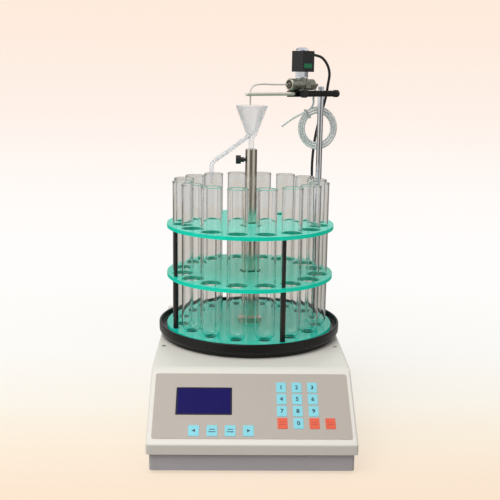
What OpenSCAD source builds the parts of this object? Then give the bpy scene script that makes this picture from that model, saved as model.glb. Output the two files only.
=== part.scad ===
// Sixteen-tube fraction collector with a turning drip funnel.
// Millimetres. +Z is up and -Y is the front. The origin is on the bench, under the middle of
// the machine without its cable and hose. Places in the modules are measured from the rack's axis.

/* [Base] */
// Width of the housing at its lip
base_w = 245; // [232:1:280]
// Distance from the rack centre to the front lip
base_front = 247; // [238:1:270]
// Distance from the rack centre to the back panel
base_back = 140; // [134:1:170]
// Height of the rubber feet
foot_h = 4; // [3:0.5:8]
// Diameter of a rubber foot
foot_d = 16; // [12:1:22]
// Height of the lower pan that shows below the lip
pan_h = 21; // [16:0.5:30]
// How far the pan stands back from the lip
pan_inset = 3.5; // [2.5:0.5:6]
// Height of the upright lip
lip_h = 12; // [9:0.5:18]
// Rise of the sloping panel from the lip to the flat top
top_rise = 61.5; // [56:0.5:72]
// Depth of the sloping panel
slope_run = 91; // [84:1:98]
// Radius of the bend between slope and top
bend_r = 18; // [8:1:26]
// Radius of the housing's other edges
edge_r = 3; // [2.6:0.2:4]
// Thickness of the steel sheet
sheet = 1.8; // [1.2:0.1:2.4]

/* [Control panel] */
// Width of the membrane overlay
overlay_w = 233; // [225:1:235]
// Length of the overlay along the slope
overlay_l = 92.5; // [90:0.5:94]
// Thickness of the overlay
overlay_t = 0.5; // [0.3:0.1:1]
// Distance from the lip to the overlay
overlay_margin = 8; // [6:0.5:9]
// Width of the display window
lcd_w = 67; // [55:1:75]
// Height of the display window along the slope
lcd_l = 39.5; // [34:0.5:42]
// Width of a number key
key_w = 11.4; // [9:0.2:15]
// Length of a number key
key_l = 14.6; // [12:0.2:16]
// Sideways spacing of the number keys
key_pitch_x = 18.8; // [16:0.2:19]
// Spacing of the key rows
key_pitch_s = 17; // [16.5:0.1:17.2]
// Width of a function key
func_w = 12.2; // [9:0.2:16]
// Length of a function key
func_l = 14.6; // [12:0.2:18]
// Spacing of the function keys
func_pitch = 21.2; // [18:0.2:22]
// Height of a key's raised pad
key_rise = 0.4; // [0.2:0.1:0.8]

/* [Rack] */
// Outer diameter of a test tube
tube_d = 27; // [24:0.5:29]
// Length of a test tube
tube_l = 200; // [185:1:205]
// Glass thickness of a test tube
tube_wall = 1.3; // [1:0.1:2]
// Radius of the circle that the tubes stand on
pitch_r = 93.5; // [90:0.5:96]
// Gap between a tube and its hole, all round
tube_clear = 0.5; // [0.4:0.1:0.8]
// Distance from a tube's wall to the rim of the discs
disc_margin = 7; // [5:0.5:10]
// Thickness of the rack discs
disc_t = 5; // [4:0.5:7]
// Diameter of the seat hole under each tube
seat_d = 16; // [12:0.5:18]
// Clear height between the bottom and the middle disc
lower_gap = 67; // [55:1:75]
// Clear height between the middle and the top disc
upper_gap = 62.5; // [50:0.5:70]
// Diameter of the lower rack posts
lower_post_d = 7; // [6:0.5:8]
// Diameter of the upper rack posts
upper_post_d = 5.2; // [5:0.2:6.4]
// Diameter of the centre hole of the upper two discs
hub_hole_d = 26; // [22:1:32]

/* [Tray] */
// Distance from the rim of the discs to the rim of the tray
tray_margin = 11; // [9:0.5:13]
// How far the ring under the tray stands back from its rim
tray_ring_inset = 5.5; // [4:0.5:9]
// Height of the whole tray
tray_h = 19.5; // [17:0.5:24]
// Height of the tray floor above the housing
tray_floor_h = 11.5; // [10:0.5:13]
// Thickness of the tray wall
tray_wall = 3; // [2:0.5:4]

/* [Distributor] */
// Diameter of the centre post
post_d = 16; // [14:0.5:18]
// Height of the post above the bottom disc
post_h = 240; // [228:1:245]
// Diameter of the post's bearing flange
flange_d = 30.5; // [26:0.5:36]
// Height of the post's bearing flange
flange_h = 6; // [5:0.5:9]
// Running clearance of the turning parts, on radius
run_fit = 0.05; // [0.03:0.01:0.08]
// Diameter of the funnel rim
funnel_d = 43; // [36:1:50]
// Height of the funnel cone
cone_h = 41.5; // [34:0.5:46]
// Distance from the post top to the funnel cone
neck_gap = 16.5; // [13:0.5:20]
// Diameter of the funnel neck
neck_d = 12.8; // [10:0.2:14]
// Diameter of the funnel stem
stem_d = 7.4; // [6.4:0.2:8]
// Glass thickness of the funnel
funnel_wall = 1.4; // [1.1:0.1:1.7]
// Outer diameter of the delivery arm
arm_d = 6; // [5:0.2:7]
// Fall of the delivery arm from the neck to its bend
arm_fall = 32; // [28:0.5:33]
// Outer diameter of the spout tip
tip_d = 2.6; // [2.2:0.1:3.4]
// Gap between the spout tip and the tube mouths
tip_gap = 4.5; // [3:0.5:6]
// Tube position that the arm rests over, counted from the front
arm_place = -1.5; // [-3.5:1:3.5]

/* [Drive] */
// Gear module
gear_m = 1.5; // [1.5:0.25:1.75]
// Teeth of the gear on the post
gear_teeth = 60; // [54:1:62]
// Teeth of the motor pinion
pinion_teeth = 20; // [18:1:22]
// Face width of the gears
gear_w = 8; // [6:0.5:9]
// Play between the meshing teeth
backlash = 0.25; // [0.2:0.05:0.4]
// Side of the square motor body
motor_w = 42; // [35:1:44]
// Length of the motor body
motor_l = 34; // [26:1:38]

/* [Support and valve] */
// Distance from the rim of the tray to the middle of the support rod
rod_gap = 6; // [5.5:0.5:9]
// Direction of the support rod, from the right-hand side towards the back
rod_a = 39.9; // [39:0.1:44]
// Diameter of the support rod
rod_d = 8.6; // [8:0.2:9.4]
// Rise of the clamp bar's centre above the funnel's rim
bar_rise = 15; // [14:0.5:27]
// Height of the clamp bar
bar_h = 8.6; // [8.6:0.2:11]
// Width of the clamp bar
bar_w = 10; // [10:0.5:13]
// Length of the clamp bar from the rod towards the rack
bar_reach = 62.5; // [60:0.5:66]
// Length of the clamp bar behind the rod
bar_tail = 27; // [22:0.5:32]
// Diameter of the arm rod
arm_rod_d = 5.2; // [4.6:0.2:5.4]
// How far the arm rod reaches past the post's axis
arm_past = 11; // [9:0.5:16]
// Outer diameter of the valve body
valve_d = 16.6; // [15:0.2:18]
// Side of the square solenoid coil
coil_w = 23; // [20:0.5:24]
// Height of the solenoid coil
coil_h = 28.5; // [24:0.5:34]
// Height of the chrome bonnet under the coil
bonnet_h = 8.6; // [7:0.2:10]

/* [Hidden] */
$fn = 72;

// Small cut past a face, so that no skin is left in a hole
eps = 0.5;
// Close gap between pieces that are assembled face to face or slipped together
slip = 0.1;

// Heights of the base
pan_z0 = foot_h;
lip_z0 = foot_h + pan_h;
lip_z1 = lip_z0 + lip_h;
top_z = lip_z1 + top_rise;
slope_a = atan(top_rise / slope_run);
bend_y = slope_run - base_front;

// Discs, tray and support rod, one round the other
disc_d = pitch_r * 2 + tube_d + 2 * disc_margin;
tray_d = disc_d + 2 * tray_margin;
tray_ring_d = tray_d - 2 * tray_ring_inset;
rod_x = (tray_d / 2 + rod_gap) * cos(rod_a);
rod_y = (tray_d / 2 + rod_gap) * sin(rod_a);

// Heights of the rack
tray_floor_z = top_z + tray_floor_h;
seat_z = tray_floor_z + disc_t;
mid_z = seat_z + lower_gap;
up_z = mid_z + disc_t + upper_gap;
rack_top_z = up_z + disc_t;
tube_count = 16;
tube_step = 360 / tube_count;
tube_r = tube_d / 2;
tube_seat_gap = 0.3;
tube_z0 = seat_z + tube_seat_gap - (tube_r - sqrt(pow(tube_r, 2) - pow(seat_d / 2, 2)));
tube_top_z = tube_z0 + tube_l;
tube_bead = 0.5;
disc_r = disc_d / 2;
rack_post_r = disc_r - 6;
rack_post_angles = [-67.5, 22.5, 112.5, 202.5];
post_spigot_d = 3.4;

// Turning post and funnel
post_r = post_d / 2;
post_top_z = seat_z + post_h;
cone_z0 = post_top_z + neck_gap;
rim_z = cone_z0 + cone_h;
stem_depth = 30;
arm_root_z = cone_z0 + 3.5;
arm_bend_z = arm_root_z - arm_fall;
arm_a = atan(arm_fall / pitch_r);
arm_bend_r = 7;
tip_z = tube_top_z + tip_gap;
tip_len = 16;
arm_azimuth = arm_place * tube_step;
screw_z = post_top_z - 14.6;
screw_r = 2;

// Drive train
gear_r = gear_m * gear_teeth / 2;
pinion_r = gear_m * pinion_teeth / 2;
drive_gap = gear_r + pinion_r;
plate_z0 = top_z - 36.5;
plate_t = 3;
gear_z0 = plate_z0 + plate_t + 3;
journal_r = 5;
motor_shaft_r = 2.5;

// Valve arm: its frame has +x from the rod to the post's axis, and +y to the front
rod_r = rod_d / 2;
rod_reach = tray_d / 2 + rod_gap;
arm_turn = 180 + rod_a;
bar_z = rim_z + bar_rise;
rod_top_z = bar_z + bar_h / 2 + 6;
arm_rod_r = arm_rod_d / 2;
valve_r = valve_d / 2;
valve_x = 37.2;
valve_z = bar_h / 2 + valve_r;
outlet_x = 67;
inlet_x = 9;
bonnet_z = valve_z + valve_r + 0.6;
coil_z = bonnet_z + bonnet_h;
armature_r = 4.9;
coil_lead_z = coil_z + coil_h - 5;
coil_lead_x = valve_x - coil_w / 2 - 8;
outlet_hole_x = rod_reach + 3;
rod_knob_r = 5.3;
rod_knob_l = 6.6;
rod_knob_end = bar_tail + 0.5 + rod_knob_l;

// Place of the rack's axis in the part's frame
machine_right = rod_x - rod_knob_end * cos(arm_turn) + rod_knob_r * abs(sin(arm_turn));
machine_left = max(base_w, tray_d) / 2;
gland_out_y = base_back + 11;
axis_x = (machine_left - machine_right) / 2;
axis_y = (base_front - gland_out_y) / 2;

// Sloping panel layout, measured from the rack centre line and up the slope
lcd_x = -57;
lcd_s = 60.2;
keypad_x = 35.6;
keypad_s = 29;
func_x = -68;
func_s = 18.7;

// ---- shared shapes -------------------------------------------------------

// Puts a piece, given from the rack's axis, into the part's frame
module placed() {
    translate([axis_x, axis_y, 0]) children();
}

function arc_points(c, r, a0, a1, n) =
    [for (i = [0:n]) let (a = a0 + (a1 - a0) * i / n) [c[0] + r * cos(a), c[1] + r * sin(a)]];

// Rectangle with round corners, centred
module round_rect(w, l, r) {
    union() {
        square([w - 2 * r, l], center = true);
        square([w, l - 2 * r], center = true);
        for (x = [-1, 1], y = [-1, 1]) translate([x * (w / 2 - r), y * (l / 2 - r)]) circle(r = r);
    }
}

// Flat block with round corners that stands on z
module round_block(w, l, h, r) {
    linear_extrude(height = h) round_rect(w, l, r);
}

// Place on the sloping panel: x sideways, y up the slope, z out of it
module on_slope(x = 0, s = 0) {
    translate([0, -base_front, lip_z1]) rotate([slope_a, 0, 0]) translate([x, s, 0]) children();
}

// Place a piece at an angle round the rack, counted from the front towards +X
module around(azimuth, r) {
    translate([r * sin(azimuth), -r * cos(azimuth), 0]) children();
}

// Frame of the valve arm
module on_arm() {
    translate([rod_x, rod_y, bar_z]) rotate([0, 0, arm_turn]) children();
}

// Point of the valve arm's frame in the part's frame
function arm_point(x, y, z) = [
    rod_x + x * cos(arm_turn) - y * sin(arm_turn),
    rod_y + x * sin(arm_turn) + y * cos(arm_turn),
    bar_z + z];

// Cylinder along x from x0 to x1
module x_rod(r, x0, x1, r2 = undef) {
    translate([x0, 0, 0]) rotate([0, 90, 0])
        cylinder(r1 = r, r2 = is_undef(r2) ? r : r2, h = x1 - x0);
}

// Hexagonal prism along z, measured across its flats
module hex(flats, h) {
    cylinder(r = flats / sqrt(3), h = h, $fn = 6);
}

// Knurled knob outline
module knurl(r, teeth, depth) {
    polygon([for (i = [0:4 * teeth - 1])
        let (rr = (i % 4 < 2) ? r : r - depth, a = 360 * (i + 0.5) / (4 * teeth))
        [rr * cos(a), rr * sin(a)]]);
}

// Smooth curve through hand-chosen points, with steps runs between two of them
function mix(p, i, t) =
    let (n = len(p) - 1,
         a = p[max(i - 1, 0)], b = p[i], c = p[min(i + 1, n)], d = p[min(i + 2, n)])
    0.5 * (2 * b + (c - a) * t + (2 * a - 5 * b + 4 * c - d) * t * t
           + (3 * b - a - 3 * c + d) * t * t * t);
function smooth(p, steps) =
    concat([for (i = [0:len(p) - 2], k = [0:steps - 1]) mix(p, i, k / steps)], [p[len(p) - 1]]);

function unit(v) = v / norm(v);
function heading(p, i) =
    unit(p[min(i + 1, len(p) - 1)] - p[max(i - 1, 0)]);
// Side vector of each ring, carried along the path without twist
function carried(p, i, n) = let (t = heading(p, i)) unit(n - (n * t) * t);
function sides(p, n0) =
    [for (i = 0, n = carried(p, 0, n0); i < len(p); i = i + 1, n = carried(p, min(i, len(p) - 1), n)) n];

// Round tube solid swept along points
module sweep(p, r, faces, n0) {
    n = sides(p, n0);
    rings = len(p);
    verts = [for (i = [0:rings - 1]) let (t = heading(p, i), b = cross(t, n[i]))
        for (k = [0:faces - 1]) let (a = 360 * k / faces) p[i] + r * (cos(a) * n[i] + sin(a) * b)];
    walls = [for (i = [0:rings - 2], k = [0:faces - 1])
        let (a = i * faces + k, b = i * faces + (k + 1) % faces)
        each [[a, a + faces, b], [b, a + faces, b + faces]]];
    polyhedron(points = verts, faces = concat(walls,
        [[for (k = [0:faces - 1]) k]],
        [[for (k = [faces - 1:-1:0]) (rings - 1) * faces + k]]));
}

// ---- base ----------------------------------------------------------------

// Side outline of the housing, set in by a distance
function housing_side(inset) = concat(
    [[inset - base_front, lip_z0 - (inset > 0 ? eps : 0)]],
    arc_points([edge_r - base_front, lip_z1 + edge_r * (sin(slope_a) - 1) / cos(slope_a)],
        edge_r - inset, 180, 90 + slope_a, 4),
    arc_points([bend_y + bend_r * tan(slope_a / 2), top_z - bend_r], bend_r - inset, 90 + slope_a, 90, 8),
    arc_points([base_back - edge_r, top_z - edge_r], edge_r - inset, 90, 0, 5),
    [[base_back - inset, lip_z0 - (inset > 0 ? eps : 0)]]);

module along_x(w) {
    translate([-w / 2, 0, 0]) rotate([90, 0, 90]) linear_extrude(height = w) children();
}

base_l = base_front + base_back;
base_mid_y = (base_back - base_front) / 2;
pan_w = base_w - 2 * pan_inset;
pan_l = base_l - 2 * pan_inset;
screw_x = pan_w / 2 - sheet - 3.2;
screw_ys = [-68, base_back - 25];
stud_r = 3;
panel_y = base_back - sheet;
inlet_at = [-base_w / 2 + 52.5, lip_z1 + 25];
switch_at = [-base_w / 2 + 97.5, lip_z1 + 25];
gland_at = [base_w / 2 - 20.5, lip_z1 + 23];

module housing_screw_places() {
    for (x = [-1, 1], y = screw_ys) translate([x * screw_x, y, 0]) children();
}

module base_pan() placed() {
    color([0.57, 0.55, 0.56]) difference() {
        union() {
            difference() {
                translate([0, base_mid_y, pan_z0]) round_block(pan_w, pan_l, pan_h + 8, edge_r + 1);
                translate([0, base_mid_y, pan_z0 + sheet])
                    round_block(pan_w - 2 * sheet, pan_l - 2 * sheet, pan_h + 8, edge_r + 1 - sheet);
            }
            // studs that the housing is screwed down to
            housing_screw_places() translate([0, 0, pan_z0 + sheet / 2])
                cylinder(r = stud_r, h = top_z - sheet - pan_z0 - sheet / 2);
            // standoffs of the circuit board
            board_corners() translate([0, 0, pan_z0 + sheet / 2]) cylinder(r = 3, h = board_z - pan_z0 - sheet / 2);
        }
        // threaded ends of the studs
        housing_screw_places() translate([0, 0, top_z - sheet - 9]) cylinder(r = 1.2, h = 10);
        // slots that let air in under the transformer
        for (i = [0:5]) translate([transformer_at[0] - 20 + 8 * i, transformer_at[1] - 48, pan_z0 - eps])
            round_block(3, 24, sheet + 2 * eps, 1.4);
        foot_places() translate([0, 0, pan_z0 - eps]) cylinder(r = 2, h = sheet + 2 * eps);
    }
}

module foot_places() {
    for (x = [-1, 1], y = [base_mid_y - pan_l / 2 + 20, base_mid_y + pan_l / 2 - 20])
        translate([x * (pan_w / 2 - 20), y, 0]) children();
}

module rubber_feet() placed() {
    color([0.09, 0.09, 0.09]) foot_places() difference() {
        union() {
            cylinder(r1 = foot_d / 2 - 1.2, r2 = foot_d / 2, h = foot_h);
            cylinder(r = 2 - slip, h = foot_h + sheet);
        }
        translate([0, 0, -eps]) cylinder(r = foot_d / 5, h = 1.2 + eps);
    }
}

module top_housing() placed() {
    color([0.92, 0.9, 0.86]) difference() {
        intersection() {
            along_x(base_w) polygon(housing_side(0));
            // round upright corners
            translate([0, base_mid_y, 0]) round_block(base_w, base_l, top_z + 10, edge_r);
            // round side edges of the flat top
            translate([0, base_back + 10, top_z - 100]) rotate([90, 0, 0])
                linear_extrude(height = base_l + 20) translate([0, 50]) round_rect(base_w, 100, edge_r);
            // round side edges of the slope
            on_slope() translate([0, base_l, -base_l]) rotate([90, 0, 0])
                linear_extrude(height = 2 * base_l) translate([0, base_l / 2]) round_rect(base_w, base_l, edge_r);
        }
        along_x(base_w - 2 * sheet) polygon(housing_side(sheet));
        // way in for the turning post, the rod and the screws
        translate([0, 0, top_z - sheet - eps]) cylinder(r = post_r + 2, h = sheet + 2 * eps);
        translate([rod_x, rod_y, top_z - sheet - eps]) cylinder(r = rod_r + slip, h = sheet + 2 * eps);
        housing_screw_places() {
            translate([0, 0, top_z - sheet - eps]) cylinder(r = 1.6, h = sheet + 2 * eps);
            translate([0, 0, top_z - 1.2]) cylinder(r1 = 1.6, r2 = 2.8, h = 1.2);
        }
        // window for the display
        on_slope(lcd_x, lcd_s) translate([0, 0, -sheet - 2]) round_block(lcd_w, lcd_l, sheet + 4, 1);
        // cut-outs in the back panel
        back_panel(inlet_at) round_block(inlet_w, inlet_l, sheet + 2 * eps, 1);
        back_panel(switch_at) round_block(switch_w, switch_l, sheet + 2 * eps, 0.5);
        back_panel(gland_at) cylinder(r = gland_r, h = sheet + 2 * eps);
        for (i = [0:6]) back_panel([22 + 8 * i, 62]) round_block(2.6, 30, sheet + 2 * eps, 1.2);
    }
    // flange turned in under the lip, which closes the joint to the pan
    color([0.92, 0.9, 0.86]) difference() {
        translate([0, base_mid_y, lip_z0]) round_block(base_w - 2 * sheet + slip, base_l - 2 * sheet + slip, sheet, 1);
        translate([0, base_mid_y, lip_z0 - eps])
            round_block(pan_w + 2 * slip, pan_l + 2 * slip, sheet + 2 * eps, edge_r + 1 + slip);
    }
}

// Hole or piece on the back panel: x sideways, y up, z out of the panel
module back_panel(at) {
    translate([at[0], panel_y - eps, at[1]]) rotate([-90, 0, 0]) mirror([0, 1, 0]) children();
}

module housing_screws() placed() {
    color([0.5, 0.5, 0.5]) housing_screw_places() difference() {
        union() {
            translate([0, 0, top_z - 1.2]) cylinder(r1 = 1.55, r2 = 2.75, h = 1.15);
            translate([0, 0, top_z - 8]) cylinder(r = 1.15, h = 7);
        }
        translate([-0.35, -3, top_z - 0.6]) cube([0.7, 6, 2]);
    }
}

// ---- control panel -------------------------------------------------------

module key_pads() {
    for (i = [0:3]) translate([func_x + i * func_pitch, func_s]) square([func_w, func_l], center = true);
    for (col = [0:2], row = [0:3])
        translate([keypad_x + col * key_pitch_x, keypad_s + row * key_pitch_s])
            square([key_w, key_l], center = true);
    translate([keypad_x + 3 * key_pitch_x, keypad_s]) square([key_w, key_l], center = true);
}

module keypad_overlay() placed() {
    color([0.79, 0.75, 0.71]) on_slope() difference() {
        union() {
            translate([0, overlay_margin + overlay_l / 2, 0]) round_block(overlay_w, overlay_l, overlay_t, 3);
            linear_extrude(height = overlay_t + key_rise) key_pads();
        }
        translate([lcd_x, lcd_s, -eps]) round_block(lcd_w, lcd_l, overlay_t + 2 * eps, 1);
    }
}

lcd_t = 6;

module lcd_display() placed() {
    color([0.11, 0.1, 0.36]) on_slope(lcd_x, lcd_s) union() {
        // glass that fills the window, and the module behind the sheet
        translate([0, 0, -sheet - 1]) round_block(lcd_w - 2 * slip, lcd_l - 2 * slip, sheet + 1.2 + overlay_t / 2, 1);
        translate([0, 0, -sheet - slip - lcd_t]) round_block(lcd_w + 10, lcd_l + 9, lcd_t, 1);
        for (x = [-1, 1]) translate([x * (lcd_w / 2 + 1), 0, -sheet - slip - lcd_t - 3]) cube([3, lcd_l - 8, 6.5], center = true);
    }
}

// ---- back panel ----------------------------------------------------------

inlet_w = 27.2;
inlet_l = 19.8;
inlet_depth = 19;
switch_w = 13;
switch_l = 19.5;
switch_depth = 14;
rocker_a = 7;
gland_r = 6;

module power_inlet() placed() {
    color([0.1, 0.1, 0.1]) {
        back_panel(inlet_at) translate([0, 0, eps]) difference() {
            union() {
                translate([0, 0, sheet]) round_block(inlet_w + 4, inlet_l + 4, 2.4, 2);
                translate([0, 0, sheet - inlet_depth]) round_block(inlet_w - 2 * slip, inlet_l - 2 * slip, inlet_depth, 1);
            }
            translate([0, 0, sheet - inlet_depth + 2]) linear_extrude(height = inlet_depth + 2)
                polygon([[-12.2, 8.2], [-12.2, -4], [-8.5, -8.2], [8.5, -8.2], [12.2, -4], [12.2, 8.2]]);
        }
    }
    color([0.8, 0.8, 0.78]) back_panel(inlet_at) translate([0, 0, eps])
        for (p = [[-7, -2], [7, -2], [0, 2]])
            translate([p[0] - 1, p[1] - 2, sheet - inlet_depth + 1.5]) cube([2, 4, 12]);
}

module switch_frame() placed() {
    color([0.1, 0.1, 0.1]) back_panel(switch_at) translate([0, 0, eps]) difference() {
        union() {
            translate([0, 0, sheet]) round_block(switch_w + 4, switch_l + 4, 1.8, 1.5);
            translate([0, 0, sheet - switch_depth]) round_block(switch_w - 2 * slip, switch_l - 2 * slip, switch_depth, 0.5);
        }
        translate([0, 0, sheet - switch_depth + 2]) round_block(switch_w - 3, switch_l - 2, switch_depth + 2, 0.4);
        // seats for the rocker's trunnions
        translate([-switch_w / 2 + 0.6, 0, sheet - 1]) rotate([0, 90, 0]) cylinder(r = 1 + run_fit, h = switch_w - 1.2);
    }
}

module power_rocker() placed() {
    color([0.12, 0.12, 0.12]) back_panel(switch_at) translate([0, 0, eps + sheet - 1]) rotate([rocker_a, 0, 0]) {
        difference() {
            translate([-(switch_w - 3.8) / 2, 0, 0]) rotate([90, 0, 90]) linear_extrude(height = switch_w - 3.8)
                polygon([[-8.1, 2.8], [-7.3, -4], [0, -6.5], [7.3, -4], [8.1, 2.8], [7.6, 4.4], [0, 3.2], [-7.6, 4.4]]);
            // finger dish on the raised end
            translate([0, 5, 26.5]) rotate([0, 90, 0]) cylinder(r = 23, h = 5, center = true);
        }
        translate([-(switch_w - 1.6) / 2, 0, 0]) rotate([0, 90, 0]) cylinder(r = 1, h = switch_w - 1.6);
    }
}

module cable_gland() placed() {
    color([0.1, 0.1, 0.1]) back_panel(gland_at) translate([0, 0, eps]) difference() {
        union() {
            translate([0, 0, -8]) cylinder(r = gland_r - slip, h = sheet + 9);
            translate([0, 0, -4.5]) hex(15, 4.4);
            translate([0, 0, sheet]) hex(15, 5);
            translate([0, 0, sheet + 5]) cylinder(r1 = 6.6, r2 = 4, h = 6);
        }
        translate([0, 0, -9]) cylinder(r = cable_r + 0.2, h = 14);
    }
}

// ---- parts inside the base -----------------------------------------------

transformer_w = 56;
transformer_l = 28;
transformer_h = 47;
transformer_side = 50.5;
transformer_back = 40;
transformer_at = [transformer_side - base_w / 2, base_back - transformer_back];
window_w = 12;
window_h = 27;
window_z = 10;
winding_w = 35.2;
winding_l = 44;
winding_h = 26.2;
board_x = 20;
board_y = -168;
board_at = [board_x, board_y];
board_w = 120;
board_l = 80;
board_z = pan_z0 + 10;

module board_corners() {
    for (x = [-1, 1], y = [-1, 1])
        translate([board_at[0] + x * (board_w / 2 - 6), board_at[1] + y * (board_l / 2 - 6), 0]) children();
}

module transformer() placed() {
    z0 = pan_z0 + sheet;
    translate([transformer_at[0], transformer_at[1], z0]) {
        color([0.35, 0.35, 0.37]) difference() {
            translate([-transformer_w / 2, -transformer_l / 2, 0]) cube([transformer_w, transformer_l, transformer_h]);
            for (x = [-18, 6]) translate([x, -transformer_l / 2 - 1, window_z])
                cube([window_w, transformer_l + 2, window_h]);
        }
        color([0.75, 0.6, 0.25]) difference() {
            translate([-winding_w / 2, -winding_l / 2, window_z + 0.4]) cube([winding_w, winding_l, winding_h]);
            translate([-6.2, -14.2, 5]) cube([12.4, 28.4, 40]);
        }
        color([0.35, 0.35, 0.37]) for (x = [-1, 1]) difference() {
            translate([x * 33 - 6, -14, 0]) cube([12, 28, 1.5]);
            translate([x * 35, 0, -1]) cylinder(r = 2, h = 4);
        }
    }
}

module control_board() placed() {
    translate([board_at[0], board_at[1], board_z]) {
        color([0.05, 0.35, 0.2]) difference() {
            translate([0, 0, 0]) round_block(board_w, board_l, 1.6, 2);
            for (x = [-1, 1], y = [-1, 1])
                translate([x * (board_w / 2 - 6), y * (board_l / 2 - 6), -1]) cylinder(r = 1.6, h = 4);
        }
        color([0.1, 0.1, 0.1]) {
            translate([-20, -10, 1.6]) cube([24, 24, 2.5]);
            translate([18, -22, 1.6]) cube([16, 9, 4]);
            for (i = [0:3]) translate([-42, -24 + 14 * i, 1.6]) cylinder(r = 4, h = 12);
            for (i = [0:2]) translate([40, -22 + 18 * i, 1.6]) cube([7, 14, 9]);
        }
    }
}

// Involute tooth outline: flanks of a few points, cut by the tip and root circles
function involute(rb, t) = [rb * sqrt(1 + t * t), t * 180 / PI - atan(t)];
module gear_outline(teeth, m) {
    rp = m * teeth / 2;
    rb = rp * cos(20);
    ra = rp + m;
    rf = rp - 1.25 * m;
    flank = 4;
    half = 90 / teeth + (tan(20) * 180 / PI - 20) - backlash / 2 / rp * 180 / PI;
    t0 = rf > rb ? sqrt(pow(rf / rb, 2) - 1) : 0;
    t1 = sqrt(pow(ra / rb, 2) - 1);
    right = [for (k = [0:flank]) involute(rb, t0 + (t1 - t0) * k / flank)];
    polygon([for (i = [0:teeth - 1]) let (c = 360 * i / teeth)
        each concat(
            rf < rb ? [[rf * cos(c - half), rf * sin(c - half)]] : [],
            [for (p = right) [p[0] * cos(c - half + p[1]), p[0] * sin(c - half + p[1])]],
            [for (k = [flank:-1:0]) let (p = right[k])
                [p[0] * cos(c + half - p[1]), p[0] * sin(c + half - p[1])]],
            rf < rb ? [[rf * cos(c + half), rf * sin(c + half)]] : [])]);
}

module motor_bracket() placed() {
    x0 = -drive_gap - motor_w * 0.81;
    x1 = gear_r + 20;
    y1 = gear_r + 1;
    color([0.6, 0.6, 0.62]) difference() {
        union() {
            translate([x0, -y1, plate_z0]) cube([x1 - x0, 2 * y1, plate_t]);
            for (x = [x0 + 7, x1 - 7], y = [-1, 1]) translate([x, y * (y1 - 7), plate_z0])
                cylinder(r = 4, h = top_z - sheet - plate_z0);
        }
        translate([0, 0, plate_z0 - eps]) cylinder(r = journal_r + 3 + run_fit, h = plate_t + 2 * eps);
        translate([-drive_gap, 0, plate_z0 - eps]) cylinder(r = 11.2, h = plate_t + 2 * eps);
        for (x = [-1, 1], y = [-1, 1]) translate([-drive_gap + x * motor_w * 0.37, y * motor_w * 0.37, plate_z0 - eps])
            cylinder(r = 1.6, h = plate_t + 2 * eps);
    }
}

module drive_motor() placed() {
    translate([-drive_gap, 0, plate_z0 - motor_l]) difference() {
        color([0.2, 0.2, 0.22]) union() {
            translate([0, 0, 8]) round_block(motor_w, motor_w, motor_l - 16, 5);
            round_block(motor_w - 0.6, motor_w - 0.6, 8, 4);
            translate([0, 0, motor_l - 8]) round_block(motor_w - 0.6, motor_w - 0.6, 8, 4);
            translate([0, 0, motor_l]) cylinder(r = 11, h = 2);
            translate([-9, motor_w / 2 - 1, 1]) cube([18, 6, 9]);
        }
        translate([0, 0, 4]) cylinder(r = motor_shaft_r + run_fit, h = motor_l);
    }
}

module motor_shaft() placed() {
    color([0.75, 0.75, 0.77]) translate([-drive_gap, 0, plate_z0 - motor_l + 5])
        cylinder(r = motor_shaft_r, h = gear_z0 + gear_w + 3 - plate_z0 + motor_l - 5);
}

module motor_pinion() placed() {
    color([0.8, 0.7, 0.35]) translate([-drive_gap, 0, gear_z0]) difference() {
        union() {
            rotate([0, 0, 180 / pinion_teeth]) linear_extrude(height = gear_w) gear_outline(pinion_teeth, gear_m);
            translate([0, 0, gear_w / 2]) cylinder(r = 6.5, h = gear_w / 2 + 5);
        }
        translate([0, 0, -eps]) cylinder(r = motor_shaft_r, h = gear_w + 6);
        translate([0, 0, gear_w + 2.5]) rotate([0, 90, 0]) cylinder(r = 1.2, h = 8);
    }
}

module drive_gear() placed() {
    color([0.88, 0.87, 0.8]) difference() {
        union() {
            translate([0, 0, gear_z0]) rotate([0, 0, gear_teeth % 2 == 0 ? 0 : 180 / gear_teeth])
                linear_extrude(height = gear_w) gear_outline(gear_teeth, gear_m);
            translate([0, 0, gear_z0 - 0.6]) cylinder(r = 10, h = gear_w + 4.6);
        }
        translate([0, 0, gear_z0 - 1]) cylinder(r = journal_r, h = gear_w + 6);
        // lightening holes
        for (a = [0:60:359]) rotate([0, 0, a]) translate([gear_r * 0.56, 0, gear_z0 - eps])
            cylinder(r = gear_r * 0.18, h = gear_w + 2 * eps);
        translate([0, 0, gear_z0 + gear_w + 2]) rotate([0, 90, 0]) cylinder(r = 1.5, h = 12);
    }
}

module shaft_bearing() placed() {
    color([0.72, 0.53, 0.26]) difference() {
        union() {
            translate([0, 0, plate_z0 - 4]) cylinder(r = journal_r + 3, h = plate_t + 4);
            translate([0, 0, plate_z0 + plate_t]) cylinder(r = journal_r + 6, h = 2.2);
        }
        translate([0, 0, plate_z0 - 5]) cylinder(r = journal_r + run_fit, h = plate_t + 9);
    }
}

// ---- tray and rack -------------------------------------------------------

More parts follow.
